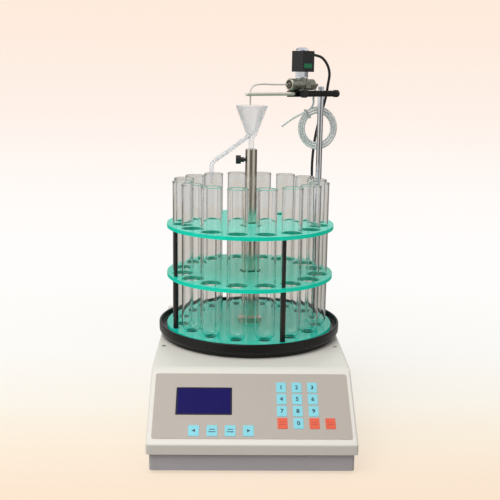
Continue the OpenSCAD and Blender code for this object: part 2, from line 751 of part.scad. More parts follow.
module drip_tray() placed() {
    rim_r = tray_d / 2;
    ring_r = tray_ring_d / 2;
    shelf_z = tray_floor_h - 5;
    hub_r = post_r + 3;
    side = concat(
        [[hub_r, 0], [hub_r + tray_wall, 0], [hub_r + tray_wall, tray_floor_h - 2.5],
         [ring_r - tray_wall, tray_floor_h - 2.5], [ring_r - tray_wall, 0], [ring_r - 0.8, 0], [ring_r, 0.8],
         [ring_r, shelf_z]],
        arc_points([rim_r - 2.5, shelf_z + 2.5], 2.5, -90, 0, 5),
        arc_points([rim_r - tray_wall / 2, tray_h - tray_wall / 2], tray_wall / 2, 0, 180, 8),
        arc_points([rim_r - tray_wall - 1.5, tray_floor_h + 1.5], 1.5, 0, -90, 3),
        [[hub_r, tray_floor_h]]);
    color([0.07, 0.07, 0.08]) translate([0, 0, top_z]) rotate_extrude($fn = 128) polygon(side);
}

module disc_blank(z) {
    translate([0, 0, z]) cylinder(r = disc_r, h = disc_t, $fn = 128);
}

module each_tube_place() {
    for (i = [0:tube_count - 1]) around(tube_step * (i + 0.5), pitch_r) children();
}

module each_post_place() {
    for (a = rack_post_angles) around(a, rack_post_r) children();
}

module bottom_disc() placed() {
    color([0.16, 0.82, 0.7, 0.8]) difference() {
        disc_blank(tray_floor_z);
        each_tube_place() translate([0, 0, tray_floor_z - eps]) cylinder(r = seat_d / 2, h = disc_t + 2 * eps);
        translate([0, 0, tray_floor_z - eps]) cylinder(r = post_r + 1, h = disc_t + 2 * eps);
        each_post_place() translate([0, 0, seat_z - 3]) cylinder(r = post_spigot_d / 2 + slip, h = 4);
    }
}

module tube_disc(z) {
    difference() {
        disc_blank(z);
        each_tube_place() translate([0, 0, z - eps]) cylinder(r = tube_r + tube_clear, h = disc_t + 2 * eps);
        translate([0, 0, z - eps]) cylinder(r = hub_hole_d / 2, h = disc_t + 2 * eps);
        children();
    }
}

module middle_disc() placed() {
    color([0.16, 0.82, 0.7, 0.8]) tube_disc(mid_z)
        each_post_place() translate([0, 0, mid_z - eps]) cylinder(r = post_spigot_d / 2 + slip, h = disc_t + 2 * eps);
}

module top_disc() placed() {
    color([0.16, 0.82, 0.7, 0.8]) tube_disc(up_z)
        each_post_place() translate([0, 0, up_z - eps]) cylinder(r = post_spigot_d / 2 + slip, h = 3 + eps);
}

module rack_posts() placed() {
    spigot_r = post_spigot_d / 2;
    color([0.06, 0.06, 0.06]) each_post_place() {
        // lower post: spigot in the bottom disc, socket for the upper one
        difference() {
            union() {
                translate([0, 0, seat_z - 2.8]) cylinder(r = spigot_r, h = 4);
                translate([0, 0, seat_z]) cylinder(r = lower_post_d / 2, h = lower_gap);
            }
            translate([0, 0, mid_z - 6]) cylinder(r = spigot_r + slip, h = 7);
        }
        // upper post: stud through the middle disc, spigot in the top disc
        union() {
            translate([0, 0, mid_z - 5.5]) cylinder(r = spigot_r, h = disc_t + 6);
            translate([0, 0, mid_z + disc_t]) cylinder(r = upper_post_d / 2, h = upper_gap);
            translate([0, 0, up_z - 1]) cylinder(r = spigot_r, h = 3.8);
        }
    }
}

module test_tube(i) placed() {
    bore_r = tube_r - tube_wall;
    lip = tube_bead + 0.1;
    side = concat(
        arc_points([0, tube_r], tube_r, -90, 0, 12),
        [[tube_r, tube_l - 4 * lip], [tube_r + tube_bead, tube_l - 3 * lip],
         [tube_r + tube_bead, tube_l - lip], [tube_r, tube_l], [bore_r, tube_l]],
        arc_points([0, tube_r], bore_r, 0, -90, 12));
    color([0.86, 0.88, 0.9, 0.4]) around(tube_step * (i - 0.5), pitch_r) translate([0, 0, tube_z0])
        rotate_extrude() polygon(side);
}

// ---- distributor ---------------------------------------------------------

module post_bearing() placed() {
    color([0.72, 0.66, 0.58]) difference() {
        union() {
            translate([0, 0, seat_z]) cylinder(r = flange_d / 2, h = flange_h - 1.5);
            translate([0, 0, seat_z + flange_h - 1.5]) cylinder(r1 = flange_d / 2, r2 = flange_d / 2 - 1.5, h = 1.5);
        }
        translate([0, 0, seat_z - eps]) cylinder(r = post_r + run_fit, h = flange_h + 2 * eps);
        for (a = [45:90:359]) rotate([0, 0, a]) translate([post_r + 3.8, 0, seat_z - eps])
            cylinder(r = 1.3, h = flange_h + 2 * eps);
    }
}

module center_post() placed() {
    shoulder_z = gear_z0 + gear_w + 4.2;
    color([0.72, 0.72, 0.7]) difference() {
        union() {
            translate([0, 0, shoulder_z]) cylinder(r = post_r, h = post_top_z - 0.8 - shoulder_z);
            translate([0, 0, post_top_z - 0.8]) cylinder(r1 = post_r, r2 = post_r - 0.8, h = 0.8);
            translate([0, 0, plate_z0 - 6]) cylinder(r = journal_r, h = shoulder_z - plate_z0 + 7);
        }
        // socket for the funnel stem, and the tapped hole of its screw
        translate([0, 0, post_top_z - stem_depth - 2]) cylinder(r = stem_d / 2 + 0.35, h = stem_depth + 4);
        translate([0, 0, screw_z]) rotate([0, -90, 0]) cylinder(r = screw_r + run_fit, h = post_r + 2);
        // groove for the ring under the bearing plate
        translate([0, 0, plate_z0 - 4.6]) difference() {
            cylinder(r = journal_r + 1, h = 0.5);
            cylinder(r = journal_r - 0.6, h = 0.5);
        }
    }
}

// Delivery arm of a given radius along its centre line, with a tapered spout
module arm_line(r, root_x, tip_end_r, tip_end_z, tip_from_z) {
    turn = 90 - arm_a;
    cut = arm_bend_r * tan(turn / 2);
    slope_len = sqrt(pitch_r * pitch_r + arm_fall * arm_fall) - cut;
    translate([0, 0, arm_root_z]) rotate([0, 90 + arm_a, 0]) translate([0, 0, root_x])
        cylinder(r = r, h = slope_len - root_x);
    // bend from the falling arm down to the spout
    translate([pitch_r - arm_bend_r, 0, arm_bend_z - cut]) rotate([90, 0, 0])
        rotate_extrude(angle = turn) translate([arm_bend_r, 0]) circle(r = r);
    translate([pitch_r, 0, tip_from_z]) cylinder(r = r, h = arm_bend_z - cut - tip_from_z);
    translate([pitch_r, 0, tip_end_z]) cylinder(r1 = tip_end_r, r2 = r, h = tip_from_z - tip_end_z);
    // slight beads where the glass is joined
    translate([0, 0, arm_root_z]) rotate([0, 90 + arm_a, 0]) translate([0, 0, slope_len]) sphere(r = r + 0.15);
    translate([pitch_r, 0, arm_bend_z - cut]) sphere(r = r + 0.15);
}

module funnel() placed() {
    rim_r = funnel_d / 2;
    neck_r = neck_d / 2;
    color([0.88, 0.9, 0.9, 0.4]) rotate([0, 0, arm_azimuth]) rotate([0, 0, -90]) difference() {
        union() {
            // cone with a thick rim, neck and solid stem
            translate([0, 0, cone_z0]) cylinder(r1 = neck_r, r2 = rim_r, h = cone_h);
            translate([0, 0, rim_z - 1.6]) cylinder(r = rim_r + 0.4, h = 1.6);
            translate([0, 0, cone_z0 - 2.5]) cylinder(r1 = stem_d / 2, r2 = neck_r, h = 2.5);
            translate([0, 0, post_top_z - stem_depth]) cylinder(r = stem_d / 2, h = cone_z0 - post_top_z + stem_depth);
            arm_line(arm_d / 2, 0, tip_d / 2, tip_z, tip_z + tip_len);
        }
        translate([0, 0, cone_z0 + 2]) cylinder(r1 = neck_r - funnel_wall, r2 = rim_r - funnel_wall, h = cone_h - 2 + 0.01);
        translate([0, 0, rim_z - eps]) cylinder(r = rim_r - funnel_wall, h = 2);
        arm_line(arm_d / 2 - 1.2, 0, 0.7, tip_z - 0.01, tip_z + tip_len);
    }
}

module funnel_screw() placed() {
    color([0.07, 0.07, 0.07]) translate([0, 0, screw_z]) rotate([0, -90, 0]) {
        translate([0, 0, post_r + 6]) linear_extrude(height = 6.8) knurl(5.8, 12, 0.6);
        translate([0, 0, post_r + 1.2]) cylinder(r = 3.4, h = 5);
        translate([0, 0, stem_d / 2 + 0.1]) cylinder(r = screw_r, h = post_r + 2 - stem_d / 2);
    }
}

// ---- support rod, clamp and valve ----------------------------------------

rod_nut_h = 5;

module support_rod() placed() {
    z0 = top_z - sheet - rod_nut_h - 5;
    color([0.85, 0.86, 0.87]) translate([rod_x, rod_y, 0]) union() {
        translate([0, 0, z0]) cylinder(r = rod_r, h = rod_top_z - 1.2 - z0);
        translate([0, 0, rod_top_z - 1.2]) cylinder(r1 = rod_r, r2 = rod_r - 1.2, h = 1.2);
    }
}

module rod_nuts() placed() {
    color([0.7, 0.7, 0.72]) translate([rod_x, rod_y, 0])
        for (z = [top_z, top_z - sheet - rod_nut_h]) translate([0, 0, z]) difference() {
            hex(2 * rod_r + 7, rod_nut_h);
            translate([0, 0, -eps]) cylinder(r = rod_r + run_fit, h = rod_nut_h + 2 * eps);
        }
}

module clamp_bar() placed() {
    scoop = 9;
    color([0.07, 0.07, 0.08]) on_arm() difference() {
        translate([-bar_tail, 0, 0]) rotate([90, 0, 90]) linear_extrude(height = bar_tail + bar_reach)
            round_rect(bar_w, bar_h, 1.6);
        // bore round the support rod
        translate([0, 0, -bar_h]) cylinder(r = rod_r + run_fit, h = 2 * bar_h);
        // bore of the arm rod, open to the front at its end
        x_rod(arm_rod_r + run_fit, bar_reach - 32, bar_reach + eps);
        translate([bar_reach - scoop, 0, -bar_h]) cube([scoop + eps, bar_w, 2 * bar_h]);
        // tapped holes of the two clamp screws
        x_rod(2.5 + run_fit, -bar_tail - eps, -rod_r + 1);
        translate([45, 0, 0]) rotate([-90, 0, 0]) cylinder(r = 2 + run_fit, h = bar_w);
        // saw cut that lets the bar close on the rod
        translate([-bar_tail + 4, -0.4, -bar_h]) cube([bar_tail - 4, 0.8, bar_h - 2.7]);
    }
}

module rod_clamp_knob() placed() {
    color([0.07, 0.07, 0.07]) on_arm() {
        translate([-rod_knob_end, 0, 0]) rotate([90, 0, 90]) linear_extrude(height = rod_knob_l)
            knurl(rod_knob_r, 14, 0.5);
        // capped pin in the knob's end
        translate([0, 0, -2.6]) x_rod(0.9, -rod_knob_end - 2.6, -rod_knob_end + 1);
        x_rod(2.5, -bar_tail - 1, -rod_r - 0.1);
    }
}

module arm_clamp_knob() placed() {
    color([0.07, 0.07, 0.07]) on_arm() translate([45, 0, 0]) rotate([-90, 0, 0]) {
        translate([0, 0, bar_w / 2 + 2.8]) linear_extrude(height = 7.5) knurl(5.3, 12, 0.5);
        translate([0, 0, bar_w / 2 + 0.3]) cylinder(r = 3.4, h = 3);
        translate([0, 0, arm_rod_r + 0.1]) cylinder(r = 2, h = bar_w / 2 + 1.2 - arm_rod_r);
    }
}

module arm_rod() placed() {
    end_x = rod_reach + arm_past;
    color([0.84, 0.8, 0.72]) on_arm() difference() {
        union() {
            x_rod(arm_rod_r, bar_reach - 31, end_x - 0.8);
            x_rod(arm_rod_r, end_x - 0.8, end_x, arm_rod_r - 0.8);
        }
        translate([outlet_hole_x, 0, -bar_h]) cylinder(r = outlet_r + 0.3, h = 2 * bar_h);
    }
}

module valve_body() placed() {
    seat_w = min(bar_w, valve_d) - 2;
    color([0.48, 0.5, 0.45]) on_arm() difference() {
        union() {
            translate([0, 0, valve_z]) {
                // union nut and barb of the outlet
                x_rod(valve_r, 46.5, 61.5);
                x_rod(valve_r, 61.5, 63.1, valve_r - 1.2);
                x_rod(1.5, 60, outlet_x);
                // waist, hexagon and inlet side
                x_rod(valve_r - 0.8, 37, 48);
                x_rod(valve_r - 0.6, 18, 30);
                intersection() {
                    translate([29, 0, 0]) rotate([0, 90, 0]) hex(valve_d - 0.4, 9);
                    translate([28, -valve_d, -valve_r]) cube([12, 2 * valve_d, bonnet_z - valve_z + valve_r]);
                }
                x_rod(3.6, 13, 18.01, valve_r - 0.6);
                x_rod(1.5, inlet_x, 14);
            }
            // boss under the bonnet
            translate([valve_x + 2, 0, valve_z]) cylinder(r = valve_r - 0.3, h = bonnet_z - valve_z);
            // foot that stands on the clamp bar
            translate([28, -seat_w / 2, bar_h / 2]) cube([20, seat_w, valve_z - bar_h / 2]);
        }
        // recess in the end of the union nut
        translate([0, 0, valve_z]) difference() {
            x_rod(valve_r - 2.2, 61.6, 64);
            x_rod(3, 60, 65);
        }
        translate([0, 0, valve_z]) difference() {
            x_rod(valve_r + 1, 49.5, 50.7);
            x_rod(valve_r - 0.7, 49, 51);
        }
    }
}

module valve_bonnet() placed() {
    color([0.85, 0.86, 0.87]) on_arm() translate([valve_x + 2, 0, bonnet_z]) union() {
        cylinder(r = 8.6, h = 1.6);
        translate([0, 0, 1.6]) rotate([0, 0, 12]) hex(15.6, bonnet_h - 1.6);
        translate([0, 0, bonnet_h - 1]) cylinder(r = armature_r, h = coil_h + 4);
    }
}

module solenoid_coil() placed() {
    color([0.1, 0.1, 0.12]) on_arm() difference() {
        union() {
            translate([valve_x, 0, coil_z]) round_block(coil_w, coil_w, coil_h, 1.6);
            // moulded lead exit
            translate([0, 0, coil_lead_z]) x_rod(2.3, coil_lead_x, coil_lead_x + 9, 3.4);
        }
        translate([valve_x + 2, 0, coil_z - eps]) cylinder(r = armature_r + slip, h = coil_h + 2 * eps);
    }
}

module coil_nut() placed() {
    color([0.86, 0.87, 0.88]) on_arm() translate([valve_x + 2, 0, coil_z + coil_h]) difference() {
        union() {
            cylinder(r = 8.7, h = 1);
            translate([0, 0, 1]) hex(15, 2.2);
            translate([0, 0, 3.2]) cylinder(r1 = 7.3, r2 = 5.6, h = 1.4);
        }
        translate([0, 0, -eps]) cylinder(r = armature_r + run_fit, h = 3.2 + eps);
    }
}

// ---- cable and tubing ----------------------------------------------------

cable_r = 1.9;
outlet_r = 1.1;
hose_r = 1.5;

function near_rod(x, y, z) = [rod_x + x, rod_y + y, bar_z + z];
function near_gland(x, y, z) = [gland_at[0] + x, gland_out_y + y, gland_at[1] + z];

// Electric lead from the coil down behind the rack to the gland in the back panel
cable_route = concat(
    [arm_point(coil_lead_x - 2.5, 0, coil_lead_z), near_rod(-0.5, -2, 50.5), near_rod(8.5, 7, 41),
     near_rod(13, 14, 28), near_rod(11.5, 17, 12), near_rod(9.5, 19.5, -4), near_rod(4.5, 20.5, -26),
     near_rod(-1.5, 21, -48), near_rod(-5.5, 23, -73), near_rod(-7.5, 25, -103), near_rod(-6.5, 28, -138)],
    [near_gland(-6, -34, 190), near_gland(-4, -27, 145), near_gland(-2, -17, 100), near_gland(-1, -4, 60),
     near_gland(0, 7, 35), near_gland(0, 13, 16), near_gland(0, 9, 4), near_gland(0, 3, 0)]);

// Drip tube from the valve outlet, over the arm rod and down through its end
outlet_route = concat(
    [arm_point(outlet_x + 2.5, 0, valve_z)],
    [for (p = [[27, 0, 12.5], [8.7, 0, 13], [-2.5, 0, 12.5], [-10.5, 0, 10.5], [-14.8, 0, 6.5]])
        arm_point(outlet_hole_x - 16 - p[0], p[1], p[2])],
    [for (z = [3.6, 0, -4, -11, -14.4]) arm_point(outlet_hole_x, 0, z)]);

// Start of the hose, from the valve inlet round the back of the clamp bar
hose_lead_route = concat(
    [for (p = [[1.6, 0, 0], [2.3, -2, -1.3], [2.9, -4.6, -4.2], [3.2, -7.3, -9], [3.2, -8.4, -13.8]])
        arm_point(inlet_x - p[0], p[1], valve_z + p[2])],
    [near_rod(-10, 5.5, -7), near_rod(-9.5, 8, -12.5), near_rod(-10.5, 9.3, -17.2),
     near_rod(-13.2, 9.5, -21.5), near_rod(-15.95, 9.5, -23.32)]);

module valve_cable() placed() {
    color([0.06, 0.06, 0.06]) sweep(concat(
        [arm_point(coil_lead_x, 0, coil_lead_z)],
        smooth(cable_route, 2),
        [[gland_at[0], gland_out_y, gland_at[1]]]), cable_r, 10, [0, 0, 1]);
}

module outlet_tube() placed() {
    color([0.85, 0.85, 0.82]) sweep(concat(
        [arm_point(outlet_x, 0, valve_z)], smooth(outlet_route, 2)), outlet_r, 8, [0, 0, 1]);
}

// Wound hose: it spirals in, climbs a layer at the inner turn and spirals out again
coil_at = [rod_x - 2, bar_z - 50];
coil_layers_y = [rod_y + 9.5, rod_y + 13.1];
coil_outer_r = 28;
coil_stretch = 1.09;
coil_pitch = 3.5;
turns_in = 2.25;
turns_climb = 0.5;
turns_all = 2 * turns_in + turns_climb;
coil_start_a = 122;
loop_steps = 24;
function coil_radius(t) = coil_outer_r - coil_pitch * min(t, turns_all - t);
function coil_depth(t) =
    let (u = min(max((t - turns_in) / turns_climb, 0), 1))
    coil_layers_y[0] + (coil_layers_y[1] - coil_layers_y[0]) * (3 * u * u - 2 * u * u * u);
function coil_point(t) = let (a = coil_start_a + 360 * t, r = coil_radius(t))
    [coil_at[0] + r * cos(a), coil_depth(t), coil_at[1] + coil_stretch * r * sin(a)];
coil_path = [for (i = [0:turns_all * loop_steps]) coil_point(i / loop_steps)];

// Least distance between turns, measured on points half a turn or more apart
coil_fine = [for (i = [0:turns_all * 48]) coil_point(i / 48)];
coil_gap = min([for (i = [0:len(coil_fine) - 1], j = [i + 24:1:len(coil_fine) - 1])
    norm(coil_fine[i] - coil_fine[j])]) - 2 * hose_r;
echo(least_gap_between_hose_turns = coil_gap);

module hose_coil() placed() {
    color([0.85, 0.87, 0.86]) sweep(coil_path, hose_r, 6, [0, 1, 0]);
}

module hose_lead() placed() {
    color([0.85, 0.87, 0.86]) sweep(concat(
        [arm_point(inlet_x, 0, valve_z)], smooth(hose_lead_route, 2), [coil_path[0]]), hose_r, 8, [0, 0, 1]);
}

// Free end of the hose, out of the coil towards the user's column
hose_end_route = [for (p = [[-15.92, 0, 25.35], [-18.6, 0, 23.7], [-22.8, 0, 21.1], [-28.5, 0, 18.2], [-40.5, -0.5, 11], [-52.5, -1, 2]])
    [coil_at[0] + p[0], coil_layers_y[1] + p[1], coil_at[1] + p[2]]];

module hose_end() placed() {
    color([0.85, 0.87, 0.86]) sweep(concat(
        [coil_path[len(coil_path) - 1]], smooth(hose_end_route, 2)), hose_r, 8, [0, 1, 0]);
}

// Loop of tape round the turns and the free end beside them
module hose_tie() placed() {
    a = coil_start_a + 7;
    out = [cos(a), coil_stretch * sin(a)];
    inner = (coil_outer_r - coil_pitch * turns_in) * norm(out) - hose_r - 0.4;
    outer = coil_outer_r * norm(out) + hose_r + 1.6;
    depth = coil_layers_y[1] - coil_layers_y[0] + 2 * hose_r + 0.6;
    color([0.9, 0.9, 0.88])
        translate([coil_at[0], (coil_layers_y[0] + coil_layers_y[1]) / 2, coil_at[1]])
        rotate([0, 90 - atan2(out[1], out[0]), 0]) translate([0, 0, (inner + outer) / 2]) difference() {
            cube([2.6, depth + 1.6, outer - inner + 1.6], center = true);
            cube([4, depth, outer - inner], center = true);
        }
}

// ---- assembly ------------------------------------------------------------

base_pan();
rubber_feet();
top_housing();
housing_screws();
keypad_overlay();
lcd_display();
power_inlet();
switch_frame();
power_rocker();
cable_gland();
transformer();
control_board();
motor_bracket();
drive_motor();
motor_shaft();
motor_pinion();
drive_gear();
shaft_bearing();
drip_tray();
bottom_disc();
middle_disc();
top_disc();
rack_posts();
post_bearing();
center_post();
funnel();
funnel_screw();
support_rod();
rod_nuts();
clamp_bar();
rod_clamp_knob();
arm_clamp_knob();
arm_rod();
valve_body();
valve_bonnet();
solenoid_coil();
coil_nut();
valve_cable();
outlet_tube();
hose_lead();
hose_coil();
hose_end();
hose_tie();
test_tube(1);  // tube_01
test_tube(2);  // tube_02
test_tube(3);  // tube_03
test_tube(4);  // tube_04
test_tube(5);  // tube_05
test_tube(6);  // tube_06
test_tube(7);  // tube_07
test_tube(8);  // tube_08
test_tube(9);  // tube_09
test_tube(10);  // tube_10
test_tube(11);  // tube_11
test_tube(12);  // tube_12
test_tube(13);  // tube_13
test_tube(14);  // tube_14
test_tube(15);  // tube_15
test_tube(16);  // tube_16
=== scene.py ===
"""A bench fraction collector: sixteen glass tubes in a round rack, filled by a turning funnel."""
import math

import bmesh
import bpy
from mathutils import Matrix, Vector


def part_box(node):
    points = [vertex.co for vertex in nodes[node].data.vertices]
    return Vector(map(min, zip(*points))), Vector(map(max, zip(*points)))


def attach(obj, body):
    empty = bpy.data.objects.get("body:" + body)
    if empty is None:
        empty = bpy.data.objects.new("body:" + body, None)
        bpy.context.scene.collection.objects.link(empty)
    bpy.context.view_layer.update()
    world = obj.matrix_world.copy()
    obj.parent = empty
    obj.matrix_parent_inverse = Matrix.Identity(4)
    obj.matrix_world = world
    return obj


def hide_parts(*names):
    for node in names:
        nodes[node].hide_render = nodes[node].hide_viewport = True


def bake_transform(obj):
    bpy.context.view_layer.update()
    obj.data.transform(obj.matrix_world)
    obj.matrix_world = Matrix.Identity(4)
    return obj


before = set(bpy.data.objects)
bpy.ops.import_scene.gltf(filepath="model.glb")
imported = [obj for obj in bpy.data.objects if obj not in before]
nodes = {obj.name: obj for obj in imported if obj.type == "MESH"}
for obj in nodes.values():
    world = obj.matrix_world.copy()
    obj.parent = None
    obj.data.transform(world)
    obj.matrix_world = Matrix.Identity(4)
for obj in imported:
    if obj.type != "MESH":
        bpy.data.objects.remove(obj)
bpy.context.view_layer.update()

# The rack's axis is where the machine's drawings measure from. All lengths below are in
# millimetres from that axis and from the bench, and at() turns them into the scene's metres.
low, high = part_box("top_disc")
AXIS = Vector(((low.x + high.x) / 2, (low.y + high.y) / 2, 0))
MM = 0.001


def at(x, y, z):
    return AXIS + Vector((x, y, z)) * MM


# ---- camera ---------------------------------------------------------------------------------
# A camera on a stand a good metre in front of the rack, a little left of it and looking down
# by eleven degrees, with a short telephoto lens.
lens_to_width = 875.85 / 500
yaw, pitch, roll = math.radians(1.396), math.radians(11.341), math.radians(-0.806)
ahead = Vector((math.sin(yaw) * math.cos(pitch), math.cos(yaw) * math.cos(pitch),
                -math.sin(pitch)))
level = Vector((math.cos(yaw), -math.sin(yaw), 0))
under = ahead.cross(level)
right = level * math.cos(roll) + under * math.sin(roll)
down = under * math.cos(roll) - level * math.sin(roll)
camera = bpy.data.objects.new("camera", bpy.data.cameras.new("camera"))
camera.data.sensor_width = 36
camera.data.lens = 36 * lens_to_width
camera.data.clip_start = 0.05
bpy.context.scene.view_settings.view_transform = "Standard"
turn = Matrix((right, -down, -ahead)).transposed().to_4x4()
camera.matrix_world = Matrix.Translation(at(-28.8, -1186.9, 453.7)) @ turn
bpy.context.scene.collection.objects.link(camera)
bpy.context.scene.camera = camera


# ---- valve cable ----------------------------------------------------------------------------
# The two-core lead of the solenoid: a black rubbery sheath that leaves the coil's moulded exit,
# hangs down behind the rack and goes into the gland in the back panel.
def linear(red, green, blue):
    """Colour as it looks on screen, 0 to 255, as light."""
    return tuple((c / 255 / 12.92) if c <= 10 else ((c / 255 + 0.055) / 1.055) ** 2.4
                 for c in (red, green, blue))


def join(tree, source, target):
    tree.links.new(source, target)


def finish(name, colour, rough, metal=0.0, mottle=0.06, patch=40.0, grain=900.0, bump=0.05,
           rough_spread=0.08, stretch=(1, 1, 1), **sockets):
    """A surface whose colour drifts in soft patches and whose skin has a fine grain."""
    material = bpy.data.materials.new(name)
    material.use_nodes = True
    tree = material.node_tree
    new = tree.nodes.new
    shader = tree.nodes["Principled BSDF"]
    place = new("ShaderNodeTexCoord")
    mapping = new("ShaderNodeMapping")
    mapping.inputs["Scale"].default_value = stretch
    join(tree, place.outputs["Object"], mapping.inputs["Vector"])
    patches = new("ShaderNodeTexNoise")
    patches.inputs["Scale"].default_value = patch
    patches.inputs["Detail"].default_value = 4
    fine = new("ShaderNodeTexNoise")
    fine.inputs["Scale"].default_value = grain
    fine.inputs["Detail"].default_value = 3
    for noise in (patches, fine):
        join(tree, mapping.outputs["Vector"], noise.inputs["Vector"])
    shade = new("ShaderNodeMix")
    shade.data_type = "RGBA"
    base = linear(*colour)
    shade.inputs["A"].default_value = (*[c * (1 - mottle) for c in base], 1)
    shade.inputs["B"].default_value = (*[min(1, c * (1 + mottle)) for c in base], 1)
    join(tree, patches.outputs["Fac"], shade.inputs["Factor"])
    join(tree, shade.outputs["Result"], shader.inputs["Base Color"])
    dull = new("ShaderNodeMapRange")
    dull.inputs["To Min"].default_value = max(0.02, rough - rough_spread)
    dull.inputs["To Max"].default_value = min(1, rough + rough_spread)
    join(tree, fine.outputs["Fac"], dull.inputs["Value"])
    join(tree, dull.outputs["Result"], shader.inputs["Roughness"])
    if bump:
        relief = new("ShaderNodeBump")
        relief.inputs["Strength"].default_value = bump
        relief.inputs["Distance"].default_value = 0.0002
        join(tree, fine.outputs["Fac"], relief.inputs["Height"])
        join(tree, relief.outputs["Normal"], shader.inputs["Normal"])
    shader.inputs["Metallic"].default_value = metal
    for socket, value in sockets.items():
        shader.inputs[socket.replace("_", " ")].default_value = value
    return material


def dress(node, material):
    """Gives a CAD node its material."""
    mesh = nodes[node].data
    mesh.materials.clear()
    mesh.materials.append(material)


def smooth_line(points, steps):
    """Catmull-Rom curve through given points."""
    line = []
    last = len(points) - 1
    for i in range(last):
        a, b = points[max(i - 1, 0)], points[i]
        c, d = points[i + 1], points[min(i + 2, last)]
        for k in range(steps):
            t = k / steps
            line.append(0.5 * (2 * b + (c - a) * t + (2 * a - 5 * b + 4 * c - d) * t * t
                               + (3 * b - a - 3 * c + d) * t * t * t))
    return line + [points[last]]


def add_piece(name, mesh, material, body, smooth=True):
    """Makes a mesh a piece of the machine that moves with a body."""
    mesh.materials.append(material)
    if smooth:
        mesh.polygons.foreach_set("use_smooth", [True] * len(mesh.polygons))
    piece = bpy.data.objects.new(name, mesh)
    bpy.context.scene.collection.objects.link(piece)
    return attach(piece, body)


def closed_mesh(name, bm):
    """The finished mesh of a closed form, with its faces turned outwards."""
    bmesh.ops.recalc_face_normals(bm, faces=bm.faces)
    if bm.calc_volume(signed=True) < 0:
        bmesh.ops.reverse_faces(bm, faces=bm.faces)
    mesh = bpy.data.meshes.new(name)
    bm.to_mesh(mesh)
    bm.free()
    return mesh


def tube_mesh(name, path, radius, sides=16, bore=None):
    """Round tube along a path, closed at its ends, or with a bore. Both may change along it."""
    path = [Vector(p) for p in path]
    bm = bmesh.new()
    walls = [w if isinstance(w, list) else [w] * len(path) for w in (radius, bore) if w]
    rings = []
    normal = Vector((0, 0, 1))
    for i, point in enumerate(path):
        heading = (path[min(i + 1, len(path) - 1)] - path[max(i - 1, 0)]).normalized()
        normal = normal - heading * normal.dot(heading)
        if normal.length < 1e-4:
            normal = heading.orthogonal()
        normal.normalize()
        side = heading.cross(normal)
        ring = []
        for wall in walls:
            loop = []
            for k in range(sides):
                a = 2 * math.pi * k / sides
                loop.append(bm.verts.new(
                    point + wall[i] * (math.cos(a) * normal + math.sin(a) * side)))
            ring.append(loop)
        rings.append(ring)
    for i in range(len(path) - 1):
        for w in range(len(walls)):
            for k in range(sides):
                n = (k + 1) % sides
                quad = [rings[i][w][k], rings[i][w][n], rings[i + 1][w][n], rings[i + 1][w][k]]
                bm.faces.new(quad if w == 0 else quad[::-1])
    for end, flip in ((0, True), (len(path) - 1, False)):
        if bore:
            for k in range(sides):
                n = (k + 1) % sides
                quad = [rings[end][0][k], rings[end][0][n], rings[end][1][n], rings[end][1][k]]
                bm.faces.new(quad[::-1] if flip else quad)
        else:
            bm.faces.new(rings[end][0][::-1] if flip else rings[end][0])
    return closed_mesh(name, bm)


rod_at = (100.499, 84.03)
bar_height = 428.0
arm_angle = math.pi + math.radians(39.9)
valve_height = 12.6


def on_arm(x, y, z):
    """Point on the valve arm: x from the support rod towards the rack's axis, y to the front."""
    c, s = math.cos(arm_angle), math.sin(arm_angle)
    return at(rod_at[0] + x * c - y * s, rod_at[1] + x * s + y * c, bar_height + z)


cable_diameter = 3.8
cable_points = [on_arm(17.7, 0, 53.6), on_arm(15.2, 0, 53.6)] + [at(*p) for p in (
    (100, 82.03, 478.5), (109, 91.03, 469), (113.5, 98.03, 456), (112, 101.03, 440),
    (110, 103.53, 424), (105, 104.53, 402), (99, 105.03, 380), (95, 107.03, 355),
    (93, 109.03, 325), (94, 112.03, 290), (96, 117, 250), (98, 124, 205), (100, 134, 160),
    (101, 147, 120), (102, 158, 95), (102, 164, 76), (102, 160, 64), (102, 154, 60),
    (102, 151, 60))]
cable_path = cable_points[:1] + smooth_line(cable_points[1:], 5)
sheath = finish("black_cable_sheath", (24, 24, 26), 0.42, mottle=0.15, patch=120, bump=0.12)
valve_cable = bpy.data.objects.new(
    "valve_cable_sheath", tube_mesh("valve_cable_sheath", cable_path, cable_diameter / 2 * MM, 20))
valve_cable.data.materials.append(sheath)
valve_cable.data.polygons.foreach_set("use_smooth", [True] * len(valve_cable.data.polygons))
bpy.context.scene.collection.objects.link(valve_cable)
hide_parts("valve_cable")
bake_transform(valve_cable)

# ---- sample hose ----------------------------------------------------------------------------
# Milky soft tubing that brings the liquid to the valve. Its spare length is wound into a flat
# coil behind the support rod, held by a pale tie, and its free end points to the left.
def haze(material, middle, edge):
    """Thin where a wall faces the eye, and denser where the eye looks along it."""
    tree = material.node_tree
    look = tree.nodes.new("ShaderNodeLayerWeight")
    look.inputs["Blend"].default_value = 0.35
    density = tree.nodes.new("ShaderNodeMapRange")
    density.inputs["To Min"].default_value, density.inputs["To Max"].default_value = middle, edge
    join(tree, look.outputs["Facing"], density.inputs["Value"])
    join(tree, density.outputs["Result"], tree.nodes["Principled BSDF"].inputs["Alpha"])
    return material


def math_node(tree, operation, a, b):
    node = tree.nodes.new("ShaderNodeMath")
    node.operation = operation
    for socket, value in zip(node.inputs, (a, b)):
        if isinstance(value, (int, float)):
            socket.default_value = value
        else:
            join(tree, value, socket)
    return node.outputs[0]


